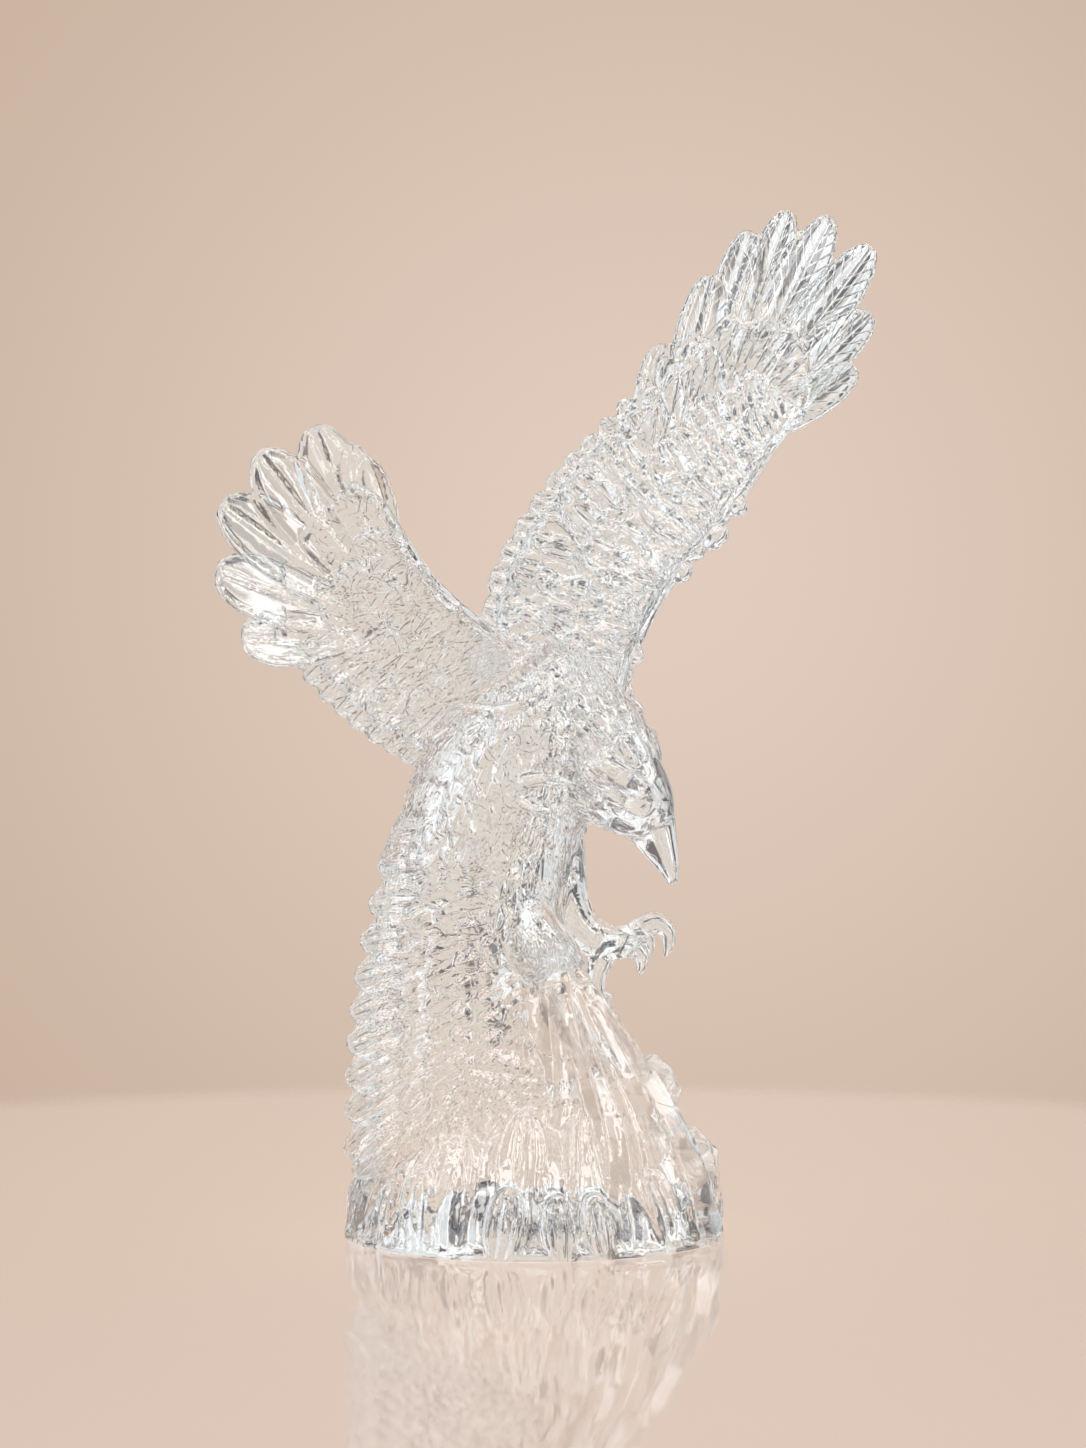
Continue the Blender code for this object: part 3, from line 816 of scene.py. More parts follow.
@dataclass
class TailFan:
    """The spread tail: rows of feathers that ray out from a spine down the rump, over the rock."""

    trunk: Trunk
    # Where on the spine the feathers to each stretch of the outline spring from.
    spine: Rows = ((0, 116), (1, 96), (2, 80), (3, 68), (6, 60), (9, 56), (12, 52))
    # The fan's outline, from its top left corner down and round to the right.
    corners: Rows = (
        (-41.5, 115),
        (-47.5, 97),
        (-51.5, 76),
        (-53.5, 57),
        (-54, 38),
        (-52.5, 20),
        (-40, 24),
        (-25, 30),
        (-9, 32),
        (7, 32),
        (24, 32),
    )
    # Share of the way out of each feather's tip and of its root, how many, and their width.
    rows: Rows = (
        (1.0, 0.68, 20, 9.6),
        (0.86, 0.53, 20, 8.6),
        (0.72, 0.38, 20, 7.8),
        (0.58, 0.25, 19, 7.0),
        (0.44, 0.12, 18, 6.4),
        (0.3, 0.0, 17, 6.0),
    )
    back_rows: Rows = ((1.0, 0.68, 20, 9.6), (0.7, 0.2, 8, 16.0))
    # The share of the trunk's half width where the fan leaves it.
    wrap: float = 0.84
    looseness: float = 0.16
    # How far the tips stand off the front and the back, and how thick the feathers are there.
    lifts: Pair = (2.0, 0.8)
    thicks: Pair = (4.4, 2.4)
    # Feathers wider than this have rolled rims.
    rimmed_from: float = 7.2
    # How far the feathers' middles stand off, and how much they stray in reach beside their place.
    bow: float = 1.2
    reach_stray: float = 0.2
    # The folds' x, top, foot and radius.
    ridges: Rows = ((-4.5, 74, 26, 2.0), (0.0, 78, 20, 2.6), (4.5, 70, 24, 2.0))
    # A fold's share of its radius at the top, and what it gains by its foot.
    ridge_swell: Pair = (0.7, 0.5)

    def place(self, x: float, z: float, face: Face) -> Array:
        """A point of the fan, which leaves the trunk's skin before its side and runs straight on.

        Args:
            x: Its place across.
            z: Its height.
            face: The face that it is on.

        Returns:
            The point.
        """
        middle, _, half_width, _ = self.trunk.section(z)
        leaves = self.wrap * half_width
        inside = middle + min(max(x - middle, -leaves), leaves)
        return np.array((x, self.trunk.skin(inside, z, face)[1], z))

    def build_face(self, casting: Casting, face: Face) -> None:
        """Adds the rows on the front or back skin.

        Args:
            casting: Where its solids go.
            face: The face that they lie on.
        """
        rng = random.Random(21 + face.value)
        behind = face is Face.BACK
        for number, (outer, inner, count, width) in enumerate(self.back_rows if behind else self.rows):
            loose = self.looseness if number else 0.0
            thick = self.thicks[behind and number > 0]
            cut = LOBE_CUT if width > self.rimmed_from else COVERT_CUT
            for i in range(int(count)):
                place = (i + 0.5 * (number % 2) + rng.uniform(-loose, loose)) / (count - 0.5)
                edge_x, edge_z = smooth_row(self.corners, place)
                from_x, from_z = smooth_row(self.spine, place)
                reach = outer * rng.uniform(1 - self.reach_stray * loose, 1 + self.reach_stray * loose)
                ends = []
                for share, lift in ((inner, 0.0), (reach, self.lifts[behind])):
                    x = from_x + (edge_x - from_x) * share
                    z = from_z + (edge_z - from_z) * share
                    ends.append(self.place(x, z, face) + np.array((0, face.value * lift, 0)))
                ahead = ends[1] - ends[0]
                across = np.array((ahead[2], 0, -ahead[0]))
                casting.feather(ends[0], ends[1], across, width, thick, cut, bow=-self.bow * face.value,
                                ripples=0.25, lines=1.3)

    def build_ridge(self, casting: Casting) -> None:
        """Adds the long smooth folds where the tail meets the crag.

        Args:
            casting: Where its solids go.
        """
        for x, top, foot, radius in self.ridges:
            rows = []
            for share in np.linspace(0, 1, 6):
                z = top + (foot - top) * share
                place = self.trunk.skin(x + 2.0 * share, z, Face.FRONT)
                rows.append((*place[:2], z, radius * (self.ridge_swell[0] + self.ridge_swell[1] * share)))
            casting.limb(rows, 12, sides=8, skin=Skin(ripples=0.2))

    def build(self, casting: Casting) -> None:
        """Adds both faces of the fan and its folds.

        Args:
            casting: Where its solids go.
        """
        self.build_face(casting, Face.FRONT)
        self.build_face(casting, Face.BACK)
        self.build_ridge(casting)


@dataclass
class Head:
    """Neck, hackles, brows, eyes and hooked beak.

    Limbs are stations of x, y, z and radius; a brow's y is counted from the head's middle plane.
    """

    neck: Rows = (
        (2, -3, 152, 19),
        (8, -6, 148, 18),
        (14, -9.5, 142.5, 17),
        (21, -13, 135.5, 15.5),
        (26.5, -15.5, 129.5, 13.6),
        (31, -17, 124.5, 11),
        (34, -18, 120.5, 8),
    )
    beak: Rows = (
        (34.2, -17.6, 122.5, 6.6),
        (35.9, -18.0, 117, 5.3),
        (37.9, -18.4, 111, 3.9),
        (39.4, -18.8, 106, 2.6),
        (39.9, -19, 103.0, 1.5),
    )
    jaw: Rows = (
        (28.6, -17.3, 121, 4.6),
        (32.6, -17.8, 115, 3.3),
        (36.0, -18.3, 109.5, 2.3),
        (38.2, -18.7, 105.6, 1.2),
    )
    cere: Rows = ((31.6, -17.5, 124.5, 8.6), (33.2, -17.7, 121.6, 8.3), (34.4, -17.9, 119.4, 6.6))
    middle: float = -16.5
    brow: Rows = ((18, 12.0, 138, 2.0), (24, 12.4, 135, 3.2), (30, 11.0, 131.0, 3.0), (35, 7.5, 125.5, 1.6))
    # The middle between the eyes, how far each eye lies from it, and its stations outwards and their radius.
    eye: Triple = (30.2, -17.0, 125.6)
    eye_gap: float = 10.0
    eyeball: tuple[Pair, ...] = ((-2.5, 1.5), (1.0, 1.5), (1.7, 0.7))
    # The eye ring's half width, half height and thickness.
    eye_ring: Triple = (2.9, 2.3, 0.7)
    hackle_rows: int = 9
    hackle_count: int = 18
    # Shares of the neck: where the first row springs, how far on the last one does, and a hackle's length.
    hackle_places: Pair = (0.04, 0.60)
    hackle_length: float = 0.15
    # Thin raised folds: over the shoulder, and above and below the crease behind the cheek.
    folds: tuple[Rows, ...] = (
        ((-30.5, -14, 143.5, 1.0), (-24.5, -18, 151.5, 1.4), (-20, -20.5, 153.8, 1.6),
         (-10.5, -24.5, 153.2, 1.6), (-2.5, -27.5, 155, 1.0)),
        ((-7, -29, 130.5, 0.9), (-2, -31, 133, 2.0), (5, -31, 133.5, 1.8), (12, -29.5, 131.5, 0.8)),
        ((-7, -29, 129.5, 0.9), (-1, -31, 126, 2.0), (5, -30.5, 124, 0.9)),
    )
    # The collar's radius at the roots and at the tips, and how far its tips lie towards the tail.
    collar: Triple = (15.5, 21.5, -7.0)
    collar_count: int = 20
    # The width and thickness of a hackle and of a feather of the collar.
    hackle_size: Pair = (5.0, 3.2)
    collar_size: Pair = (7.5, 4.5)
    # How far hackles stray round the neck, its narrowness there, the share of its radius where they spring
    # and how far their tips stand off.
    hackle_stray: float = 0.15
    hackle_flat: float = 0.9
    hackle_level: float = 0.98
    hackle_stand: Pair = (1.4, 2.6)
    # How far the collar's feathers stray, how far towards the tail they spring and how they differ in reach.
    collar_stray: float = 0.2
    collar_rise: float = 0.4
    collar_reaches: Pair = (0.94, 1.02)
    # How far the eye ring stands out from the eye's middle.
    ring_stand: float = 0.3

    def build_hackles(self, casting: Casting) -> None:
        """Adds the narrow feathers that stream from the crown back over the nape.

        Args:
            casting: Where its solids go.
        """
        rng = random.Random(8)
        first, reach = self.hackle_places
        for row in range(self.hackle_rows):
            place = first + reach * row / (self.hackle_rows - 1)
            *centre, radius = smooth_row(self.neck, place)
            *tail, tip_radius = smooth_row(self.neck, place - self.hackle_length)
            ahead = unit_vector(np.array(centre) - np.array(tail))
            up = unit_vector(np.cross(ahead, BACKWARD))
            for i in range(self.hackle_count):
                angle = stray_angle(rng, i, row, self.hackle_count, self.hackle_stray)
                out = up * math.cos(angle) + np.cross(up, ahead) * (self.hackle_flat * math.sin(angle))
                root = np.array(centre) + out * (radius * self.hackle_level)
                tip = np.array(tail) + out * (tip_radius + rng.uniform(*self.hackle_stand))
                casting.feather(root, tip, np.cross(out, tip - root), *self.hackle_size, ripples=0.5)

    def build_collar(self, casting: Casting) -> None:
        """Adds the ring of feathers that spread from the neck over the shoulders.

        Args:
            casting: Where its solids go.
        """
        rng = random.Random(17)
        rows = smooth_rows(self.neck, [0.0, self.hackle_length])[:, :3]
        centre, ahead = rows[0], unit_vector(rows[1] - rows[0])
        up = unit_vector(np.cross(ahead, BACKWARD))
        near, far, back = self.collar
        for i in range(self.collar_count):
            angle = stray_angle(rng, i, 0, self.collar_count, self.collar_stray)
            out = up * math.cos(angle) + np.cross(up, ahead) * math.sin(angle)
            root = centre + out * near + ahead * (self.collar_rise * back)
            tip = centre + out * (far * rng.uniform(*self.collar_reaches)) + ahead * back
            casting.feather(root, tip, np.cross(out, tip - root), *self.collar_size, ripples=0.5)

    def build_face(self, casting: Casting) -> None:
        """Adds beak, cere, jaw, brows, and an eye in a ring on each side.

        Args:
            casting: Where its solids go.
        """
        smooth = Skin(ripples=0.08)
        casting.limb(self.beak, 14, sides=16, flat=0.8, skin=smooth)
        casting.limb(self.jaw, 8, sides=12, flat=0.9, skin=smooth)
        casting.limb(self.cere, 6, sides=16, flat=0.86, skin=smooth)
        for side in (-1, 1):
            brow = [(x, self.middle + side * y, z, radius) for x, y, z, radius in self.brow]
            casting.limb(brow, 10, sides=8, skin=smooth)
            x, y, z = self.eye
            y += side * self.eye_gap
            eyeball = [(x, y + side * out, z, radius) for out, radius in self.eyeball]
            casting.limb(eyeball, 6, sides=12, skin=smooth)
            wide, tall, thick = self.eye_ring
            ring = []
            for k in range(13):
                angle = math.tau * k / 12
                out = y + side * self.ring_stand
                ring.append((x + wide * math.cos(angle), out, z + tall * math.sin(angle), thick))
            casting.limb(ring, 24, sides=6, skin=smooth)

    def build(self, casting: Casting) -> None:
        """Adds the neck and all that it carries.

        Args:
            casting: Where its solids go.
        """
        casting.limb(self.neck, 18, sides=20, flat=0.9, skin=Skin(ripples=0.1))
        self.build_hackles(casting)
        self.build_collar(casting)
        self.build_face(casting)
        for fold in self.folds:
            casting.limb(fold, 16, sides=8, skin=Skin(ripples=0.15))


@dataclass
class Leg:
    """A leg and its toes, through stations of x, y, z and radius, with rows of feathers on the thigh.

    The rows start at shares of the leg's length, and hang a share further down. Scutes are the toes' folds.
    """

    stations: Rows
    toes: tuple[Rows, ...]
    feather_rows: tuple[float, ...]
    feather_width: float
    feather_thick: float = 3.4
    feather_length: float = 0.26
    feather_count: int = 14
    # How far the feathers stray round the thigh, the share of its radius where they spring and how far their
    # tips stand off.
    feather_stray: float = 0.15
    feather_level: float = 0.95
    feather_stand: float = 2.0
    scutes: float = 0.05

    def build_thigh(self, casting: Casting) -> None:
        """Adds the feathers that hang from the thigh.

        Args:
            casting: Where its solids go.
        """
        rng = random.Random(len(self.feather_rows))
        for row, place in enumerate(self.feather_rows):
            *centre, radius = smooth_row(self.stations, place)
            *below, low_radius = smooth_row(self.stations, place + self.feather_length)
            for i in range(self.feather_count):
                angle = stray_angle(rng, i, row, self.feather_count, self.feather_stray)
                out = np.array((math.cos(angle), math.sin(angle), 0))
                root = np.array(centre) + out * radius * self.feather_level
                tip = np.array(below) + out * (low_radius + self.feather_stand)
                casting.feather(root, tip, np.cross(out, tip - root), self.feather_width, self.feather_thick)

    def build(self, casting: Casting) -> None:
        """Adds the leg, its toes and its feathers.

        Args:
            casting: Where its solids go.
        """
        casting.limb(self.stations, 20, sides=16, skin=Skin(ripples=0.15))
        for toe in self.toes:
            casting.limb(toe, 22, sides=12, rings=self.scutes, skin=Skin(ripples=0.08))
        self.build_thigh(casting)


REACHING_LEG = Leg(
    stations=(
        (3, 2, 128, 4.0),
        (4, -1, 121, 10.0),
        (5.5, -4, 111, 9.5),
        (7, -5, 102, 8.6),
        (9.8, -4.5, 95, 7.2),
        (13.5, -4, 89.5, 6.2),
        (18, -3, 86.3, 5.8),
        (22, -3.5, 85.3, 5.2),
    ),
    toes=(
        (
            (21, -3.5, 85.5, 4.6),
            (28, -4.5, 87, 3.9),
            (32.3, -5.5, 90.3, 3.5),
            (36, -6, 91, 3.2),
            (38.8, -6.2, 88.6, 2.5),
            (39.3, -6.2, 84.9, 1.8),
            (38, -6.2, 81.2, 0.8),
        ),
        (
            (21, -4.5, 84, 4.6),
            (26, -9, 84.5, 3.7),
            (29.6, -11.5, 83.6, 2.9),
            (31.4, -12.6, 80.6, 2.1),
            (30.4, -12.8, 76.4, 0.8),
        ),
        (
            (21, -2, 84.5, 4.6),
            (26, 2, 86.5, 3.6),
            (31, 5, 87.5, 3.1),
            (34, 6, 85, 2.2),
            (34, 6, 81, 0.8),
        ),
        (
            (20.5, -3, 84, 4.8),
            (18.8, -3, 78, 3.7),
            (17.8, -3, 73.2, 3.1),
            (19.3, -3, 69.8, 2.3),
            (23.3, -3, 69.6, 0.8),
        ),
    ),
    feather_rows=(),
    feather_width=5.0,
)

STANDING_LEG = Leg(
    stations=(
        (-8, -2, 112, 4.0),
        (-7, -7, 104, 8),
        (-5, -12.5, 96, 9.2),
        (-1.5, -18, 88.5, 9.6),
        (3, -20.5, 82.5, 8.5),
        (6.5, -20.5, 78, 6.5),
    ),
    toes=(
        (
            (6, -20.5, 78.5, 4.2),
            (11, -20.5, 77.5, 3.6),
            (14, -20.5, 74, 3.0),
            (15.5, -20.5, 69.5, 2.2),
            (15.5, -20, 66, 1.2),
        ),
        (
            (6, -21, 78.5, 4.2),
            (8, -25, 77, 3.6),
            (9.5, -27.5, 73, 3.0),
            (10, -28, 68.5, 2.2),
            (10, -27, 65, 1.2),
        ),
        (
            (6, -20, 78.5, 4.2),
            (9.5, -16.5, 77.5, 3.6),
            (13, -14.5, 74.5, 3.0),
            (14.5, -14, 70, 2.2),
            (14.5, -14.5, 66, 1.2),
        ),
    ),
    feather_rows=(0.5, 0.64),
    feather_width=4.6,
)


@dataclass
class Shoulders:
    """The lumps of feathers behind the neck, where the raised wing springs, and drops on its edge."""

    # How many feathers stand on each side, the lowest one's height and the step up to the next.
    count: int = 6
    lowest: float = 150
    step: float = 5.5
    # The feathers on the right and on the left: root and tip as seen from their level, width and thickness.
    right: tuple[Triple, Triple, Pair] = ((17, 8, -1), (30.5, 10, -3), (8, 7))
    left: tuple[Triple, Triple, Pair] = ((2, 12, -2), (-14, 14, -6), (9, 5))
    # How far the tips on the right sway and how fast, and how each tip on the left is set off from the last.
    sway: Pair = (2.0, 1.9)
    left_step: Triple = (-1.5, -1.0, 0.0)
    # Each drop's share of the way along the raised wing, how far it lies past the edge, its radius, and half
    # of its length as a share.
    drops: Rows = (
        (0.39, -0.02, 2.9, 0.035),
        (0.47, -0.015, 2.2, 0.02),
        (0.54, -0.03, 3.2, 0.045),
        (0.65, -0.035, 2.6, 0.025),
    )
    # A drop's stations: shares of half its length, and of its radius.
    drop_shape: tuple[Pair, ...] = ((-1, 0.3), (-0.6, 0.85), (0, 1), (0.6, 0.9), (1, 0.4))

    def build(self, casting: Casting) -> None:
        """Adds stout feathers on both sides of the shoulder, and the drops.

        Args:
            casting: Where its solids go.
        """
        up = np.array(UPWARD)
        for i in range(self.count):
            level = np.array((0.0, 0.0, self.lowest + self.step * i))
            sway = np.array((self.sway[0] * math.sin(self.sway[1] * i), 0.0, 0.0))
            for (root, tip, size), moved in ((self.right, sway), (self.left, i * np.array(self.left_step))):
                casting.feather(level + root, level + tip + moved, up, *size)
        for s, c, radius, half in self.drops:
            stations = [
                (*LEFT_WING.point(s + half * place, c), radius * full) for place, full in self.drop_shape
            ]
            casting.limb(stations, 10, sides=12, skin=Skin(ripples=0.1))


@dataclass
class Rock:
    """The crag that the foot stands on, the lumps beside it and the fluted skirt round them."""

    # The crag: how many facets it has, how far each station is turned on, and the stations' x, y, z and
    # radius.
    crag_sides: int = 9
    crag_turn: float = 0.12
    crag: Rows = (
        (16, -8, 2, 36),
        (20.5, -12, 26, 24),
        (17.5, -14, 44, 17),
        (13, -17.5, 60, 12),
        (9.8, -20, 71, 8.8),
        (8, -20, 77.5, 6.2),
    )
    # Each lump's middle and half sizes.
    lumps: tuple[tuple[Triple, Triple], ...] = (
        ((33, -4, 40), (10.5, 15, 13)),
        ((44, -8, 17), (11, 20, 15.5)),
        ((27, 18, 30), (14, 15, 18)),
        ((36, 22, 12), (15, 18, 13)),
        ((10, 33, 16), (17, 14, 15)),
    )
    # Where the ridges and the ribs stand round the crag, in degrees. They start and end at shares of the way
    # down, have a radius at the top and gain more by the foot, and the ribs turn on by some degrees.
    ridge_angles: tuple[float, ...] = (-165, -135, -108, -84, -58, -36)
    ridge_ends: Pair = (0.12, 1.0)
    ridge_radii: Pair = (2.4, 5.6)
    # A ridge's waves round the crag: how far and how fast. Its narrowness, and what each second one adds.
    ridge_wave: Pair = (0.1, 3.0)
    ridge_flats: Pair = (0.45, 0.4)
    rib_angles: tuple[float, ...] = (-128, -116, -101, -92, -76, -67, -50, -42, -27, -14)
    rib_ends: Pair = (0.1, 0.9)
    rib_radii: Pair = (0.9, 1.5)
    rib_turn: float = 14
    # A rib's waves: how far, how fast and how much further on the next one's are. The share of the crag's
    # radius where it lies, and how far it stands out from there.
    rib_wave: Triple = (0.05, 4.0, 2.0)
    rib_out: Pair = (1.02, 0.6)
    flutes: int = 22
    flute_depth: float = 3.8
    # The slow waves that make the folds uneven in width: how far, how many round the skirt, where they start
    # and how far they turn from foot to top.
    wander: Rows = ((0.9, 3, 0, 0), (0.35, 7, 2, 2.2))
    # The creases: how many for each fold, how far they turn up the skirt, how much they wander, how deep.
    creases: tuple[float, ...] = (2.3, 0.7, 0.5, 0.12)
    # A fold's share of its depth: the middle, how far it varies, how often round the skirt and from where.
    fold_depths: tuple[float, ...] = (0.75, 0.25, 5, 1)
    # The share of the depth at the sides, and what the front has more and the back less.
    front_depth: Pair = (0.65, 0.35)
    skirt_sides: int = 360
    # Metres between the skirt and the base's greatest radius.
    skirt_inset: float = 0.0012
    # For each row of lobes: how many, the heights of their feet and tips, their width, and how far the tips
    # stand off the skirt.
    flames: Rows = ((19, -2.0, 36.0, 13.5, 3.0), (19, -2.0, 22.0, 9.0, 1.0))
    flame_thick: float = 5.8
    # How far a lobe strays from its place and its tip turns aside, how deep its root is sunk, and the least
    # and the most of its share of the row's height and width. Past the sine flames_to, few stand.
    flame_stray: float = 0.22
    flame_turn: float = 0.10
    flame_sunk: float = 2.0
    flame_heights: Pair = (0.8, 1.15)
    flame_widths: Pair = (0.85, 1.2)
    flames_to: float = 0.3
    # The rim's levels as shares of its height, and how far each is worn in.
    rim_sides: int = 180
    rim: Rows = ((0.35, 0.2), (0.65, 1.6), (1.0, 4.0))
    # The chips in its edge: how deep, how many round it, how far they crowd and how often.
    chips: tuple[float, ...] = (0.3, 17, 2, 5)
    # Share of the skirt's height, share of the radius and share of the flutes' depth.
    profile: Rows = (
        (-0.11, 1.0, 0.8),
        (0.2, 0.995, 1.0),
        (0.45, 0.94, 1.1),
        (0.75, 0.80, 0.9),
        (1.0, 0.58, 0.5),
    )

    def build_crag(self, casting: Casting) -> None:
        """Adds the tall smooth facets under the foot.

        Args:
            casting: Where its solids go.
        """
        rings = []
        for number, (x, y, z, radius) in enumerate(self.crag):
            angles = math.tau * np.arange(self.crag_sides) / self.crag_sides + self.crag_turn * number
            rings.append(level_ring(x, y, radius, radius, angles, z))
        casting.bridge(np.array(rings), Skin(ripples=0.12))

    @staticmethod
    def zigzag(turns: Array) -> Array:
        """A wave with sharp crests of 1 and sharp valleys of 0."""
        return 2 * np.abs(turns - np.floor(turns) - 0.5)

    def build_ridges(self, casting: Casting) -> None:
        """Adds the long sharp ridges that run down the crag from the foot.

        Args:
            casting: Where its solids go.
        """
        far, fast = self.ridge_wave
        for number, angle in enumerate(self.ridge_angles):
            rows = []
            for share in np.linspace(*self.ridge_ends, 7):
                x, y, z, r = smooth_row(self.crag, 1 - share)
                turn = math.radians(angle) + far * math.sin(fast * share + number)
                radius = self.ridge_radii[0] + self.ridge_radii[1] * share
                rows.append((x + r * math.cos(turn), y + r * math.sin(turn), z, radius))
            flat = self.ridge_flats[0] + self.ridge_flats[1] * (number % 2)
            casting.limb(rows, 14, sides=4, flat=flat, skin=Skin(ripples=0.0))

    def build_ribs(self, casting: Casting) -> None:
        """Adds the thin ribs that run down between the ridges, out to the right.

        Args:
            casting: Where its solids go.
        """
        far, fast, offset = self.rib_wave
        for number, angle in enumerate(self.rib_angles):
            rows = []
            for share in np.linspace(*self.rib_ends, 6):
                x, y, z, r = smooth_row(self.crag, 1 - share)
                wave = far * math.sin(fast * share + offset * number)
                turn = math.radians(angle + self.rib_turn * share) + wave
                out = self.rib_out[0] * r + self.rib_out[1]
                radius = self.rib_radii[0] + self.rib_radii[1] * share
                rows.append((x + out * math.cos(turn), y + out * math.sin(turn), z, radius))
            casting.limb(rows, 14, sides=6, skin=Skin(ripples=0.1))

    def build_skirt(self, casting: Casting) -> None:
        """Adds the folds of uneven width that spread down onto the rim, each split by lesser creases.

        Args:
            casting: Where its solids go.
        """
        drop = SKIRT_HEIGHT / UNIT
        radius = (BASE_RADIUS - self.skirt_inset) / UNIT
        angles = math.tau * np.arange(self.skirt_sides) / self.skirt_sides
        often, turn, stray, crease_depth = self.creases
        middle, vary, number, start = self.fold_depths
        uneven = middle + vary * np.sin(number * angles + start)
        uneven = uneven * (self.front_depth[0] - self.front_depth[1] * np.sin(angles))
        rings = []
        for height, wide, deep in smooth_rows(self.profile, np.linspace(0, 1, 17)):
            wander = sum(
                far * np.sin(number * angles + start + drift * height)
                for far, number, start, drift in self.wander
            )
            flute = self.zigzag(self.flutes * angles / math.tau + wander / math.pi)
            crease = self.zigzag(often * self.flutes * angles / math.tau + turn * height + stray * wander)
            cut = self.flute_depth * deep * (uneven * (1 - flute) + crease_depth * (1 - crease))
            r = radius * wide - np.maximum(cut, 0)
            rings.append(level_ring(0, 0, r, r, angles, drop * height))
        casting.bridge(np.array(rings), Skin(ripples=0.0))

    def build_flames(self, casting: Casting) -> None:
        """Adds the tall pointed lobes that lick up the skirt, none quite like the next, and few behind.

        Args:
            casting: Where its solids go.
        """
        rng = random.Random(31)
        radius = (BASE_RADIUS - self.skirt_inset) / UNIT
        for row, (count, foot, top, wide, stand) in enumerate(self.flames):
            for i in range(int(count)):
                angle = stray_angle(rng, i, row, count, self.flame_stray)
                if math.sin(angle) > self.flames_to and (i % 2 or row):
                    continue
                turn = rng.uniform(-self.flame_turn, self.flame_turn)
                tall = top * rng.uniform(*self.flame_heights)
                inside = float(np.interp(tall / (SKIRT_HEIGHT / UNIT), *np.array(self.profile).T[:2]))
                out = np.array((math.cos(angle), math.sin(angle), 0.0))
                tip_out = np.array((math.cos(angle + turn), math.sin(angle + turn), 0.0))
                root = out * (radius - self.flame_sunk) + np.array((0, 0, foot))
                tip = tip_out * (radius * inside + stand) + np.array((0, 0, tall))
                across = np.array((math.sin(angle), -math.cos(angle), 0.0))
                width = wide * rng.uniform(*self.flame_widths)
                casting.feather(root, tip, across, width, self.flame_thick, LOBE_CUT, bow=2.4, lines=0.2)

    def build_rim(self, casting: Casting) -> None:
        """Adds the ground rim under the skirt, with small chips in its edge.

        Args:
            casting: Where its solids go.
        """
        angles = math.tau * np.arange(self.rim_sides) / self.rim_sides
        deep, number, crowd, often = self.chips
        chips = deep * (1 + np.sin(number * angles + crowd * np.sin(often * angles)))
        levels = [(share * RIM_HEIGHT / UNIT, worn) for share, worn in self.rim]
        rings = []
        for z, worn in [(SUNK, 0.0), *levels]:
            radius = BASE_RADIUS / UNIT - worn - chips
            rings.append(level_ring(0, 0, radius, radius, angles, z))
        casting.bridge(np.array(rings), Skin(ripples=0.0))

    def build(self, casting: Casting) -> None:
        """Adds the whole rock.

        Args:
            casting: Where its solids go.
        """
        self.build_crag(casting)
        self.build_ridges(casting)
        self.build_ribs(casting)
        for seed, (centre, radii) in enumerate(self.lumps):
            casting.boulder(centre, radii, seed)
        self.build_skirt(casting)
        self.build_flames(casting)
        self.build_rim(casting)


class NodeShop:
    """Makes the nodes of one node tree, and gives their outputs as wires."""

    def __init__(self, tree: bpy.types.NodeTree) -> None:
        """Empties the tree."""
        self.tree = tree
        tree.nodes.clear()

    def add(self, kind: str, settings: dict | None = None, output: int | str = 0,
            **sockets: "Wire | float | tuple") -> "Wire":
        """Adds a node.

        Args:
            kind: Its type, without the prefix that all of them have.
            settings: Its own settings, set before its sockets.
            output: Which output the wire is.
            sockets: Values or wires by socket name, with _ for a space, or by number as s0, s1 and so on.

        Returns:
            The wire of that output.
        """
        node = self.tree.nodes.new("ShaderNode" + kind)
        for name, value in (settings or {}).items():
            setattr(node, name, value)
        for name, value in sockets.items():
            key = int(name[1:]) if name[1:].isdigit() and name[0] == "s" else name.replace("_", " ")
            self.plug(node.inputs[key], value)
        return Wire(self, node.outputs[output])

    def plug(self, socket: bpy.types.NodeSocket, value: "Wire | float | tuple") -> None:
        """Sets a socket to a value, or links a wire to it.

        Args:
            socket: The input socket.
            value: The value or the wire.
        """
        if isinstance(value, Wire):
            self.tree.links.new(value.socket, socket)
        else:
            socket.default_value = value

    def finish(self, kind: str, shader: "Wire") -> None:
        """Adds the tree's output node and links the shader to it."""
        output = self.tree.nodes.new("ShaderNode" + kind)
        self.plug(output.inputs["Surface"], shader)

    def mix(self, factor: "Wire | float", first: "Wire | tuple", second: "Wire | tuple") -> "Wire":
        """A colour between two others."""
        return self.add("Mix", {"data_type": "RGBA"}, 2, s0=factor, s6=first, s7=second)


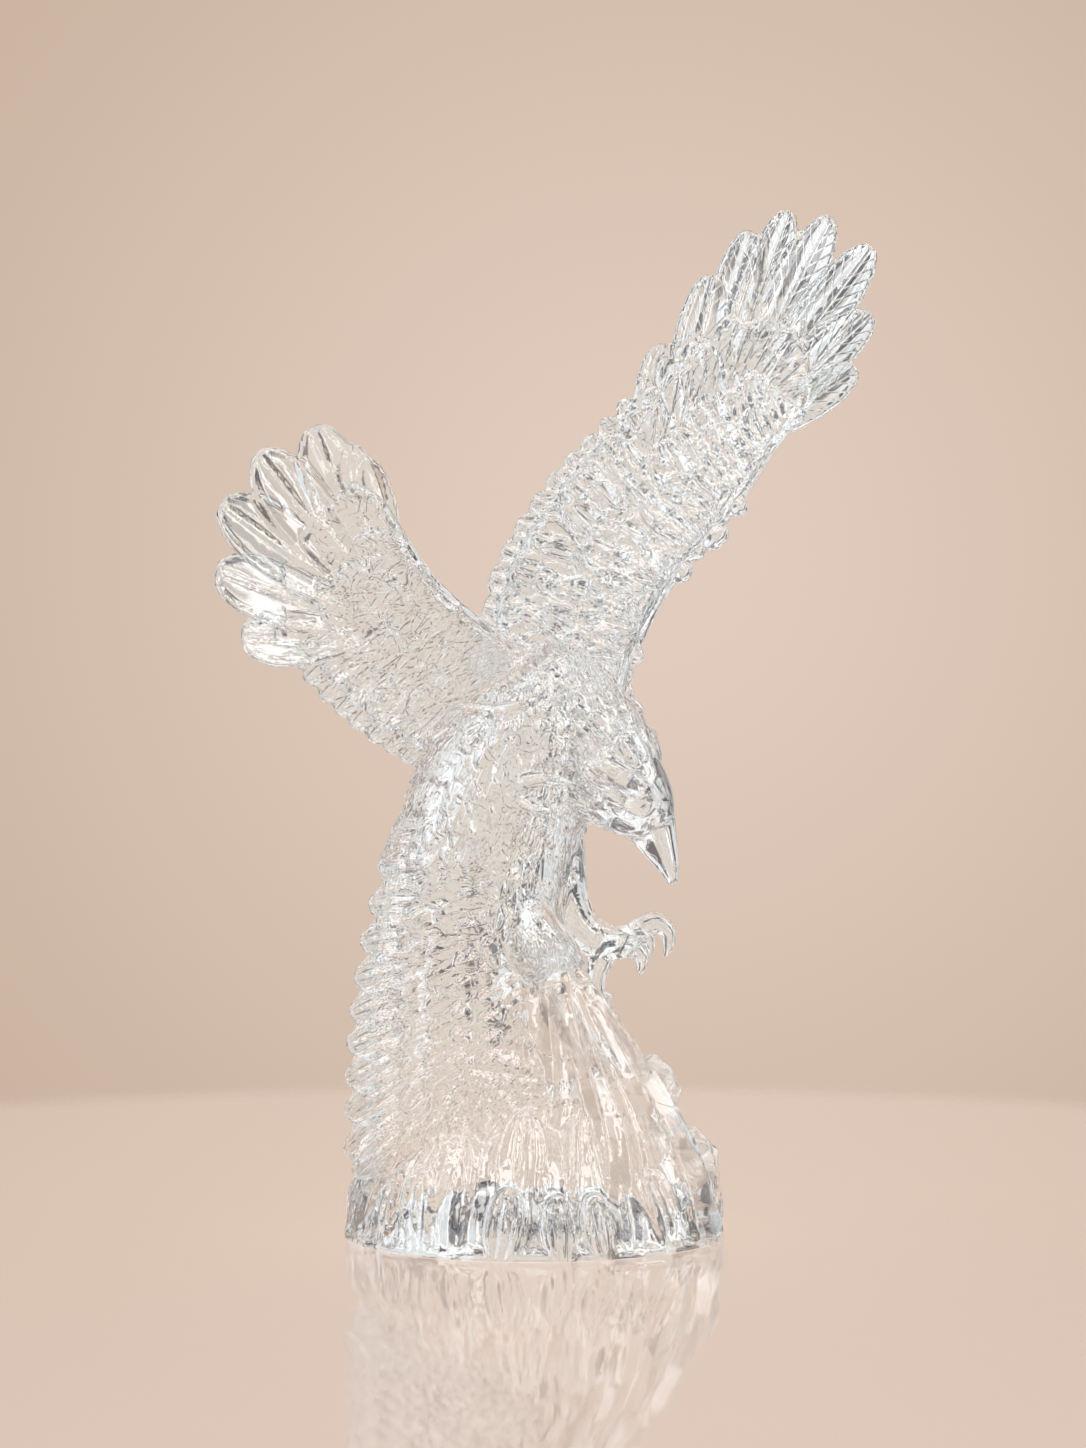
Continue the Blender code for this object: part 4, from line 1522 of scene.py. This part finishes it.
class Wire:
    """A node's output, on which sums are written as Python expressions."""

    def __init__(self, shop: NodeShop, socket: bpy.types.NodeSocket) -> None:
        """Wraps an output socket."""
        self.shop = shop
        self.socket = socket

    def math(self, operation: str, *values: "Wire | float") -> "Wire":
        """The result of a Math node on these values."""
        return self.shop.add("Math", {"operation": operation}, **{f"s{i}": v for i, v in enumerate(values)})

    def __add__(self, other: "Wire | float") -> "Wire":
        """This plus another."""
        return self.math("ADD", self, other)

    def __radd__(self, other: float) -> "Wire":
        """A number plus this."""
        return self.math("ADD", other, self)

    def __sub__(self, other: "Wire | float") -> "Wire":
        """This less another."""
        return self.math("SUBTRACT", self, other)

    def __rsub__(self, other: float) -> "Wire":
        """A number less this."""
        return self.math("SUBTRACT", other, self)

    def __mul__(self, other: "Wire | float") -> "Wire":
        """This times another."""
        return self.math("MULTIPLY", self, other)

    def __rmul__(self, other: float) -> "Wire":
        """A number times this."""
        return self.math("MULTIPLY", other, self)

    def __pow__(self, power: float) -> "Wire":
        """This raised to a power."""
        return self.math("POWER", self, power)

    def __abs__(self) -> "Wire":
        """This without its sign."""
        return self.math("ABSOLUTE", self)

    def sine(self) -> "Wire":
        """The sine of an angle in radians."""
        return self.math("SINE", self)

    def ramp(self, low: float, high: float) -> "Wire":
        """Rises smoothly from 0 at low to 1 at high, or falls where low is above high."""
        return self.shop.add("MapRange", {"interpolation_type": "SMOOTHSTEP"}, s0=self, s1=low, s2=high)


@dataclass(frozen=True)
class CrystalFinish:
    """Clear polished crystal, with the barbs of the feathers and the casting's ripples as fine relief.

    Sizes and depths are in metres. Barbs, the lines along a feather and the curls are ridges; their widths
    are shares of their spacing. The swirl is a slow noise: it is the waves, it bends the lines, and the curls
    are its contours. The weak bending and the strong gloss keep the carving in front clear to see.
    """

    tint: Colour = (0.955, 0.99, 1.0, 1.0)
    roughness: float = 0.0
    ior: float = 1.16
    gloss: float = 1.0
    gloss_ior: float = 2.2
    barb_spacing: float = 0.0050
    barb_slant: float = 1.6
    barb_width: float = 0.35
    barb_depth: float = 0.00013
    shaft_width: float = 0.0006
    # The shaft's height as a multiple of the barbs'.
    shaft_rise: float = 1.5
    swirl_size: float = 0.0060
    swirl_detail: float = 0.5
    swirl_roughness: float = 0.4
    swirl_distortion: float = 1.2
    swirl_turns: float = 0.2
    line_width: float = 0.7
    line_depth: float = 0.0003
    wave_depth: float = 0.0006
    curl_turns: float = 4.0
    curl_width: float = 0.6
    curl_depth: float = 0.0004

    def relief(self, shop: NodeShop) -> Wire:
        """The height of the fine carving: barbs and shafts, lines, waves and curls.

        Args:
            shop: Where its nodes are made.

        Returns:
            The height in metres.
        """
        vane = shop.add("Attribute", {"attribute_name": "vane"}, "Vector")
        along, across, barbs = (shop.add("SeparateXYZ", None, i, s0=vane) for i in range(3))
        leaf = shop.add("Attribute", {"attribute_name": "leaf"}, "Vector")
        place_across, cut, ripples = (shop.add("SeparateXYZ", None, i, s0=leaf) for i in range(3))
        slanted = (along - self.barb_slant * abs(across)) * (math.pi / self.barb_spacing)
        barb = abs(slanted.sine()).ramp(self.barb_width, 0.0)
        shaft = abs(across).ramp(self.shaft_width, 0.0)
        place = shop.add("TexCoord", None, "Object")
        swirl = shop.add("TexNoise", None, "Fac", Vector=place, Scale=1 / self.swirl_size,
                         Detail=self.swirl_detail, Roughness=self.swirl_roughness,
                         Distortion=self.swirl_distortion)
        lines = abs(((place_across + swirl * self.swirl_turns) * math.pi).sine()).ramp(self.line_width, 0.0)
        curls = abs((swirl * (self.curl_turns * math.pi)).sine()).ramp(self.curl_width, 0.0)
        height = barb * barbs * self.barb_depth + shaft * barbs * self.barb_depth * self.shaft_rise
        height = height + lines * cut * self.line_depth + swirl * ripples * self.wave_depth
        return height + curls * ripples * self.curl_depth

    def material(self) -> bpy.types.Material:
        """The crystal's material.

        Returns:
            The material.
        """
        material = bpy.data.materials.new("polished_crystal")
        material.use_nodes = True
        shop = NodeShop(material.node_tree)
        bump = shop.add("Bump", None, "Normal", Height=self.relief(shop), Distance=1.0, Strength=1.0)
        shader = shop.add("BsdfPrincipled", None, 0, Base_Color=self.tint, Metallic=0.0,
                          Roughness=self.roughness, IOR=self.ior, Transmission_Weight=1.0,
                          Coat_Weight=self.gloss, Coat_Roughness=0.0, Coat_IOR=self.gloss_ior, Normal=bump)
        shop.finish("OutputMaterial", shader)
        return material


@dataclass
class Sculpture:
    """The whole casting, fused, trimmed to its box and polished.

    The cell is the fineness of the fused skin in metres, and the line spacing is in drawing units. The skin
    that looks back by more than behind is thinned to back_triangles first. Then the rest is thinned until
    the margin's share of most_triangles is left. Back relief is the share of the fine relief that stays on
    the back.
    """

    finish: CrystalFinish
    cell: float = 0.00080
    line_spacing: float = 2.6
    most_triangles: int = 190_000
    margin: float = 0.97
    smoothing: float = 0.5
    sharp_angle: float = math.radians(42)
    back_relief: float = 0.1
    behind: float = 0.2
    back_triangles: int = 40_000
    # The least width of a leaf's outline, and how far past it the lines still count on, as shares.
    least_width: float = 0.25
    most_across: float = 1.25
    casting: Casting = field(default_factory=Casting)

    def build_solids(self) -> None:
        """Fills the casting with every form."""
        trunk = Trunk()
        parts = {
            "trunk": trunk,
            "plumage": Plumage(trunk),
            "left wing": LEFT_WING,
            "right wing": RIGHT_WING,
            "tail fan": TailFan(trunk),
            "head": Head(),
            "reaching leg": REACHING_LEG,
            "standing leg": STANDING_LEG,
            "shoulders": Shoulders(),
            "rock": Rock(),
        }
        for name, part in parts.items():
            before = len(self.casting.skins)
            part.build(self.casting)
            log.info("%s: %d solids", name, len(self.casting.skins) - before)

    @staticmethod
    def applied(obj: bpy.types.Object) -> bpy.types.Mesh:
        """A new mesh of an object with its modifiers applied."""
        graph = bpy.context.evaluated_depsgraph_get()
        return bpy.data.meshes.new_from_object(obj.evaluated_get(graph))

    def thin(self, obj: bpy.types.Object) -> None:
        """Thins an object's skin to the most triangles, and more strongly behind.

        Args:
            obj: The object, whose faces are quads.
        """
        mesh = obj.data
        normals = np.empty(len(mesh.vertices) * 3)
        mesh.vertices.foreach_get("normal", normals)
        behind = normals[1::3] > self.behind
        every = 2 * len(mesh.polygons)
        kept = every * (1 - behind.mean()) + self.back_triangles
        most = self.margin * self.most_triangles
        for chosen, ratio in ((behind, kept / every), (~behind, most / kept)):
            group = obj.vertex_groups.new(name="thinned")
            group.add(np.flatnonzero(chosen).tolist(), 1.0, "REPLACE")
            thin = obj.modifiers.new("thin", "DECIMATE")
            thin.vertex_group = group.name
            thin.ratio = min(ratio, 1.0)

    def fuse(self) -> bpy.types.Mesh:
        """Puts one skin round all the solids.

        Returns:
            The thinned skin.
        """
        points, triangles, _ = self.casting.soup()
        loose = bpy.data.meshes.new("loose_solids")
        loose.from_pydata(points.tolist(), [], triangles.tolist())
        obj = bpy.data.objects.new("loose_solids", loose)
        bpy.context.scene.collection.objects.link(obj)
        remesh = obj.modifiers.new("fuse", "REMESH")
        remesh.mode = "VOXEL"
        remesh.voxel_size = self.cell
        relax = obj.modifiers.new("relax", "SMOOTH")
        relax.factor = self.smoothing
        relax.iterations = 1
        fine = self.applied(obj)
        obj.modifiers.clear()
        obj.data = fine
        self.thin(obj)
        fused = self.applied(obj)
        fused.name = "crystal_eagle"
        log.info("fused: %d quads thinned to %d faces", len(fine.polygons), len(fused.polygons))
        bpy.data.objects.remove(obj)
        for spare in (loose, fine):
            bpy.data.meshes.remove(spare)
        return fused

    def trim(self, mesh: bpy.types.Mesh, low: Vector, high: Vector) -> None:
        """Cuts the flat underside, drops loose slivers, and keeps every point inside the box.

        Args:
            mesh: The fused mesh.
            low: The box's lowest corner.
            high: The box's highest corner.
        """
        bm = bmesh.new()
        bm.from_mesh(mesh)
        cut = bmesh.ops.bisect_plane(bm, geom=bm.verts[:] + bm.edges[:] + bm.faces[:], plane_co=(0, 0, 0),
                                     plane_no=(0, 0, -1), clear_outer=True)
        rim = [e for e in cut["geom_cut"] if isinstance(e, bmesh.types.BMEdge)]
        bmesh.ops.holes_fill(bm, edges=rim)
        # A loose sliver's points have only neighbours with two edges or fewer.
        specks = [v for v in bm.verts if all(len(e.other_vert(v).link_edges) <= 2 for e in v.link_edges)]
        bmesh.ops.delete(bm, geom=specks, context="VERTS")
        for vertex in bm.verts:
            for axis in range(3):
                vertex.co[axis] = min(max(vertex.co[axis], low[axis]), high[axis])
        bmesh.ops.triangulate(bm, faces=bm.faces)
        bm.normal_update()
        for edge in bm.edges:
            edge.smooth = len(edge.link_faces) != 2 or edge.calc_face_angle(0.0) < self.sharp_angle
        for face in bm.faces:
            face.smooth = True
        bm.to_mesh(mesh)
        bm.free()

    def carve(self, mesh: bpy.types.Mesh) -> None:
        """Gives every corner its place on the feather that it lies on, for the fine relief.

        Args:
            mesh: The trimmed mesh, in triangles.
        """
        points, triangles, owners = self.casting.soup()
        tree = BVHTree.FromPolygons(points.tolist(), triangles.tolist())
        faces = len(mesh.polygons)
        corners = np.empty(faces * 3, np.int32)
        mesh.loops.foreach_get("vertex_index", corners)
        places = np.empty(len(mesh.vertices) * 3)
        mesh.vertices.foreach_get("co", places)
        places = places.reshape(-1, 3)[corners].reshape(faces, 3, 3)
        owner = owners[[tree.find_nearest(centre)[2] for centre in places.mean(axis=1).tolist()]]
        skin = {
            part.name: np.array([getattr(one, part.name) for one in self.casting.skins])[owner]
            for part in fields(Skin)
        }
        offsets = places / UNIT - skin["root"][:, None]
        along = np.einsum("fck,fk->fc", offsets, skin["ahead"])
        across = np.einsum("fck,fk->fc", offsets, skin["side"])
        shares = np.clip(along / skin["length"][:, None], 0.0, 1.0)
        widths = np.maximum(leaf_width(shares, skin["blunt"][:, None]), self.least_width)
        out = np.clip(across / (skin["half"][:, None] * widths), -self.most_across, self.most_across)
        leaf = out * np.maximum(np.round(skin["half"] / self.line_spacing), 1.0)[:, None]
        normals = np.empty(faces * 3)
        mesh.polygons.foreach_get("normal", normals)
        # The relief fades from the sides on, and most of it is gone on the back.
        strength = 1 - (1 - self.back_relief) * np.clip(0.5 + normals[1::3], 0.0, 1.0)
        barbs, lines, ripples = (
            np.repeat((skin[name] * strength)[:, None], 3, axis=1) for name in ("barbs", "lines", "ripples")
        )
        layers = {"vane": (along * UNIT, across * UNIT, barbs), "leaf": (leaf, lines, ripples)}
        for name, layer in layers.items():
            attribute = mesh.attributes.new(name, "FLOAT_VECTOR", "CORNER")
            attribute.data.foreach_set("vector", np.stack(layer, -1).ravel())

    def build(self) -> bpy.types.Object:
        """Makes the piece and sets it in the plain solid's place.

        Returns:
            The piece.
        """
        low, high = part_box("crystal_eagle")
        self.build_solids()
        mesh = self.fuse()
        self.trim(mesh, low, high)
        self.carve(mesh)
        mesh.materials.append(self.finish.material())
        eagle = bpy.data.objects.new("eagle_on_rock", mesh)
        bpy.context.scene.collection.objects.link(eagle)
        eagle.visible_shadow = False
        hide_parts("crystal_eagle")
        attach(eagle, "root")
        return eagle


@dataclass(frozen=True)
class FloorFinish:
    """A plain pale table top with a soft gloss."""

    colour: Colour = (0.78, 0.65, 0.57, 1.0)
    roughness: float = 0.035

    def material(self, solid: float, clear: float) -> bpy.types.Material:
        """The floor's material, which fades out towards its rim.

        Args:
            solid: The distance from the middle where it starts to fade.
            clear: The distance where it has gone.

        Returns:
            The material.
        """
        material = bpy.data.materials.new("pale_floor")
        material.use_nodes = True
        shop = NodeShop(material.node_tree)
        place = shop.add("TexCoord", None, "Object")
        away = shop.add("VectorMath", {"operation": "LENGTH"}, "Value", s0=place)
        surface = shop.add("BsdfPrincipled", None, 0, Base_Color=self.colour, Roughness=self.roughness)
        air = shop.add("BsdfTransparent")
        mixed = shop.add("MixShader", None, 0, s0=away.ramp(solid, clear), s1=surface, s2=air)
        shop.finish("OutputMaterial", mixed)
        return material


@dataclass
class Studio:
    """Floor, backdrop, soft light and camera.

    The glass sees a room of its own. Straight behind it the wall is calm. Round that, a noise with patches
    decides what stands there: a pale screen where it is high, a dark flag with a warm fringe where it is low.
    In front, bright key boxes hang over the glass and stand beside it, with a dark flag on each side.
    Every pair of numbers is where something starts to show and where it shows fully.
    """

    floor_radius: float = 0.43
    floor_solid: float = 0.36
    floor_sides: int = 96
    air_gap: float = 0.00015
    camera_place: Triple = (0.0026, -0.995, 0.148)
    lens: float = 85.0
    bounces: int = 32
    clear_bounces: int = 8
    backdrop: Colour = (0.58, 0.44, 0.345, 1.0)
    glow: Colour = (0.755, 0.605, 0.51, 1.0)
    wall: Colour = (0.755, 0.665, 0.59, 1.0)
    room: Colour = (0.84, 0.785, 0.74, 1.0)
    soft: Colour = (1.02, 0.98, 0.95, 1.0)
    screens: Colour = (0.94, 0.945, 0.96, 1.0)
    key: Colour = (2.9, 2.9, 2.95, 1.0)
    flags: Colour = (0.085, 0.085, 0.10, 1.0)
    fringe: Colour = (0.58, 0.45, 0.33, 1.0)
    # How soft the edges of screens, flags and key boxes are.
    edge: float = 0.02
    # How far off the way straight back the calm wall ends and the far part of the room starts, how soft those
    # edges are, and how much nearer they are at the sides than above.
    calm: float = 0.13
    calm_edge: float = 0.03
    near: float = 0.52
    near_edge: float = 0.1
    sideways: float = 1.6
    behind: Pair = (0.0, 0.3)
    patch_size: float = 0.13
    patch_distortion: float = 0.6
    # The levels of the noise from which screens stand near and far, below which flags stand, and from which
    # the key boxes are lit.
    near_screens: float = 0.51
    far_screens: float = 0.56
    flag_level: float = 0.42
    key_level: float = 0.46
    over: float = 0.72
    beside: float = 0.66
    beside_end: Pair = (0.90, 0.88)
    key_front: Pair = (0.15, 0.05)
    side_flags: Pair = (0.88, 0.91)
    side_heights: Pair = (0.30, 0.25)
    # The glow on the backdrop: its middle's x and z, and its reach.
    glow_middle: Pair = (0.03, 0.05)
    glow_reach: Pair = (0.30, 0.0)
    glow_behind: Pair = (0.0, 0.5)
    soft_above: Pair = (0.1, 0.6)

    def build_floor(self) -> bpy.types.Object:
        """Adds the round table top.

        Returns:
            The floor.
        """
        mesh = bpy.data.meshes.new("floor")
        bm = bmesh.new()
        bmesh.ops.create_circle(bm, cap_ends=True, segments=self.floor_sides, radius=self.floor_radius)
        bm.to_mesh(mesh)
        bm.free()
        mesh.materials.append(FloorFinish().material(self.floor_solid, self.floor_radius))
        floor = bpy.data.objects.new("floor", mesh)
        floor.location.z = -self.air_gap
        bpy.context.scene.collection.objects.link(floor)
        return floor

    def backdrop_light(self, shop: NodeShop, x: Wire, y: Wire, z: Wire) -> Wire:
        """The wall behind, with its glow.

        Args:
            shop: Where its nodes are made.
            x: How far to the right the way goes.
            y: How far back it goes.
            z: How far up it goes.

        Returns:
            The colour.
        """
        left, low = (x - self.glow_middle[0]), (z - self.glow_middle[1])
        centre = (left * left + low * low) ** 0.5
        return shop.mix(y.ramp(*self.glow_behind) * centre.ramp(*self.glow_reach), self.backdrop, self.glow)

    def room_light(self, shop: NodeShop, way: Wire, x: Wire, y: Wire, z: Wire) -> Wire:
        """The room that the glass sees.

        Args:
            shop: Where its nodes are made.
            way: The way that is looked.
            x: How far to the right it goes.
            y: How far back it goes.
            z: How far up it goes.

        Returns:
            The colour.
        """
        patches = shop.add("TexNoise", None, 0, Vector=way, Scale=1 / self.patch_size, Detail=0.0,
                           Distortion=self.patch_distortion)
        ahead = y.ramp(*self.behind)
        off = 1 - ahead + ahead * ((x * x * self.sideways + z * z) ** 0.5)
        away = off.ramp(self.calm, self.calm + self.calm_edge)
        far = off.ramp(self.near, self.near + self.near_edge)
        screens = (patches - far * (self.far_screens - self.near_screens)).ramp(
            self.near_screens, self.near_screens + self.edge)
        fringe = patches.ramp(self.flag_level + self.edge, self.flag_level)
        flags = patches.ramp(self.flag_level, self.flag_level - self.edge)
        light = shop.mix(away, self.wall, self.room)
        for share, colour in ((screens, self.screens), (fringe, self.fringe), (flags, self.flags)):
            light = shop.mix(share * away, light, colour)
        over = z.ramp(self.over, self.over + self.edge)
        beside = abs(x).ramp(self.beside, self.beside + self.edge) * abs(x).ramp(*self.beside_end)
        lit = patches.ramp(self.key_level, self.key_level + self.edge)
        strips = (1 - (1 - over) * (1 - beside)) * lit
        light = shop.mix(strips * y.ramp(*self.key_front), light, self.key)
        side = abs(x).ramp(*self.side_flags) * abs(z).ramp(*self.side_heights)
        return shop.mix(side, light, self.flags)

    def build_world(self) -> None:
        """Sets a pale backdrop for the camera, and a room of soft boxes and dark gaps for the glass."""
        world = bpy.data.worlds.new("studio")
        bpy.context.scene.world = world
        world.use_nodes = True
        shop = NodeShop(world.node_tree)
        way = shop.add("TexCoord", None, "Generated")
        x, y, z = (shop.add("SeparateXYZ", None, i, s0=way) for i in range(3))
        wall = self.backdrop_light(shop, x, y, z)
        room = self.room_light(shop, way, x, y, z)
        soft = shop.mix(z.ramp(*self.soft_above), wall, self.soft)
        seen = shop.add("LightPath", None, "Is Camera Ray")
        sharp = shop.add("LightPath", None, "Is Singular Ray")
        colour = shop.mix(seen, shop.mix(sharp, soft, room), wall)
        shop.finish("OutputWorld", shop.add("Background", None, 0, Color=colour, Strength=1.0))

    def build_camera(self) -> None:
        """Sets the camera level with the figure's middle, straight in front."""
        data = bpy.data.cameras.new("camera")
        data.lens = self.lens
        camera = bpy.data.objects.new("camera", data)
        camera.location = self.camera_place
        camera.rotation_euler = (math.radians(90), 0, 0)
        scene = bpy.context.scene
        scene.collection.objects.link(camera)
        scene.camera = camera
        scene.view_settings.view_transform = "Standard"
        scene.cycles.max_bounces = self.bounces
        scene.cycles.transmission_bounces = self.bounces
        scene.cycles.glossy_bounces = self.bounces
        scene.cycles.transparent_max_bounces = self.clear_bounces

    def build(self) -> bpy.types.Object:
        """Sets up the studio.

        Returns:
            The floor.
        """
        floor = self.build_floor()
        self.build_world()
        self.build_camera()
        return floor


def main() -> None:
    """Builds the sculpture and its studio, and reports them."""
    logging.basicConfig(level=logging.INFO, format="%(name)s: %(message)s")
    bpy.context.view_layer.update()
    for piece in (Sculpture(CrystalFinish()).build(), Studio().build()):
        log.info("%s: %d faces", piece.name, len(piece.data.polygons))


if __name__ == "__main__":
    main()
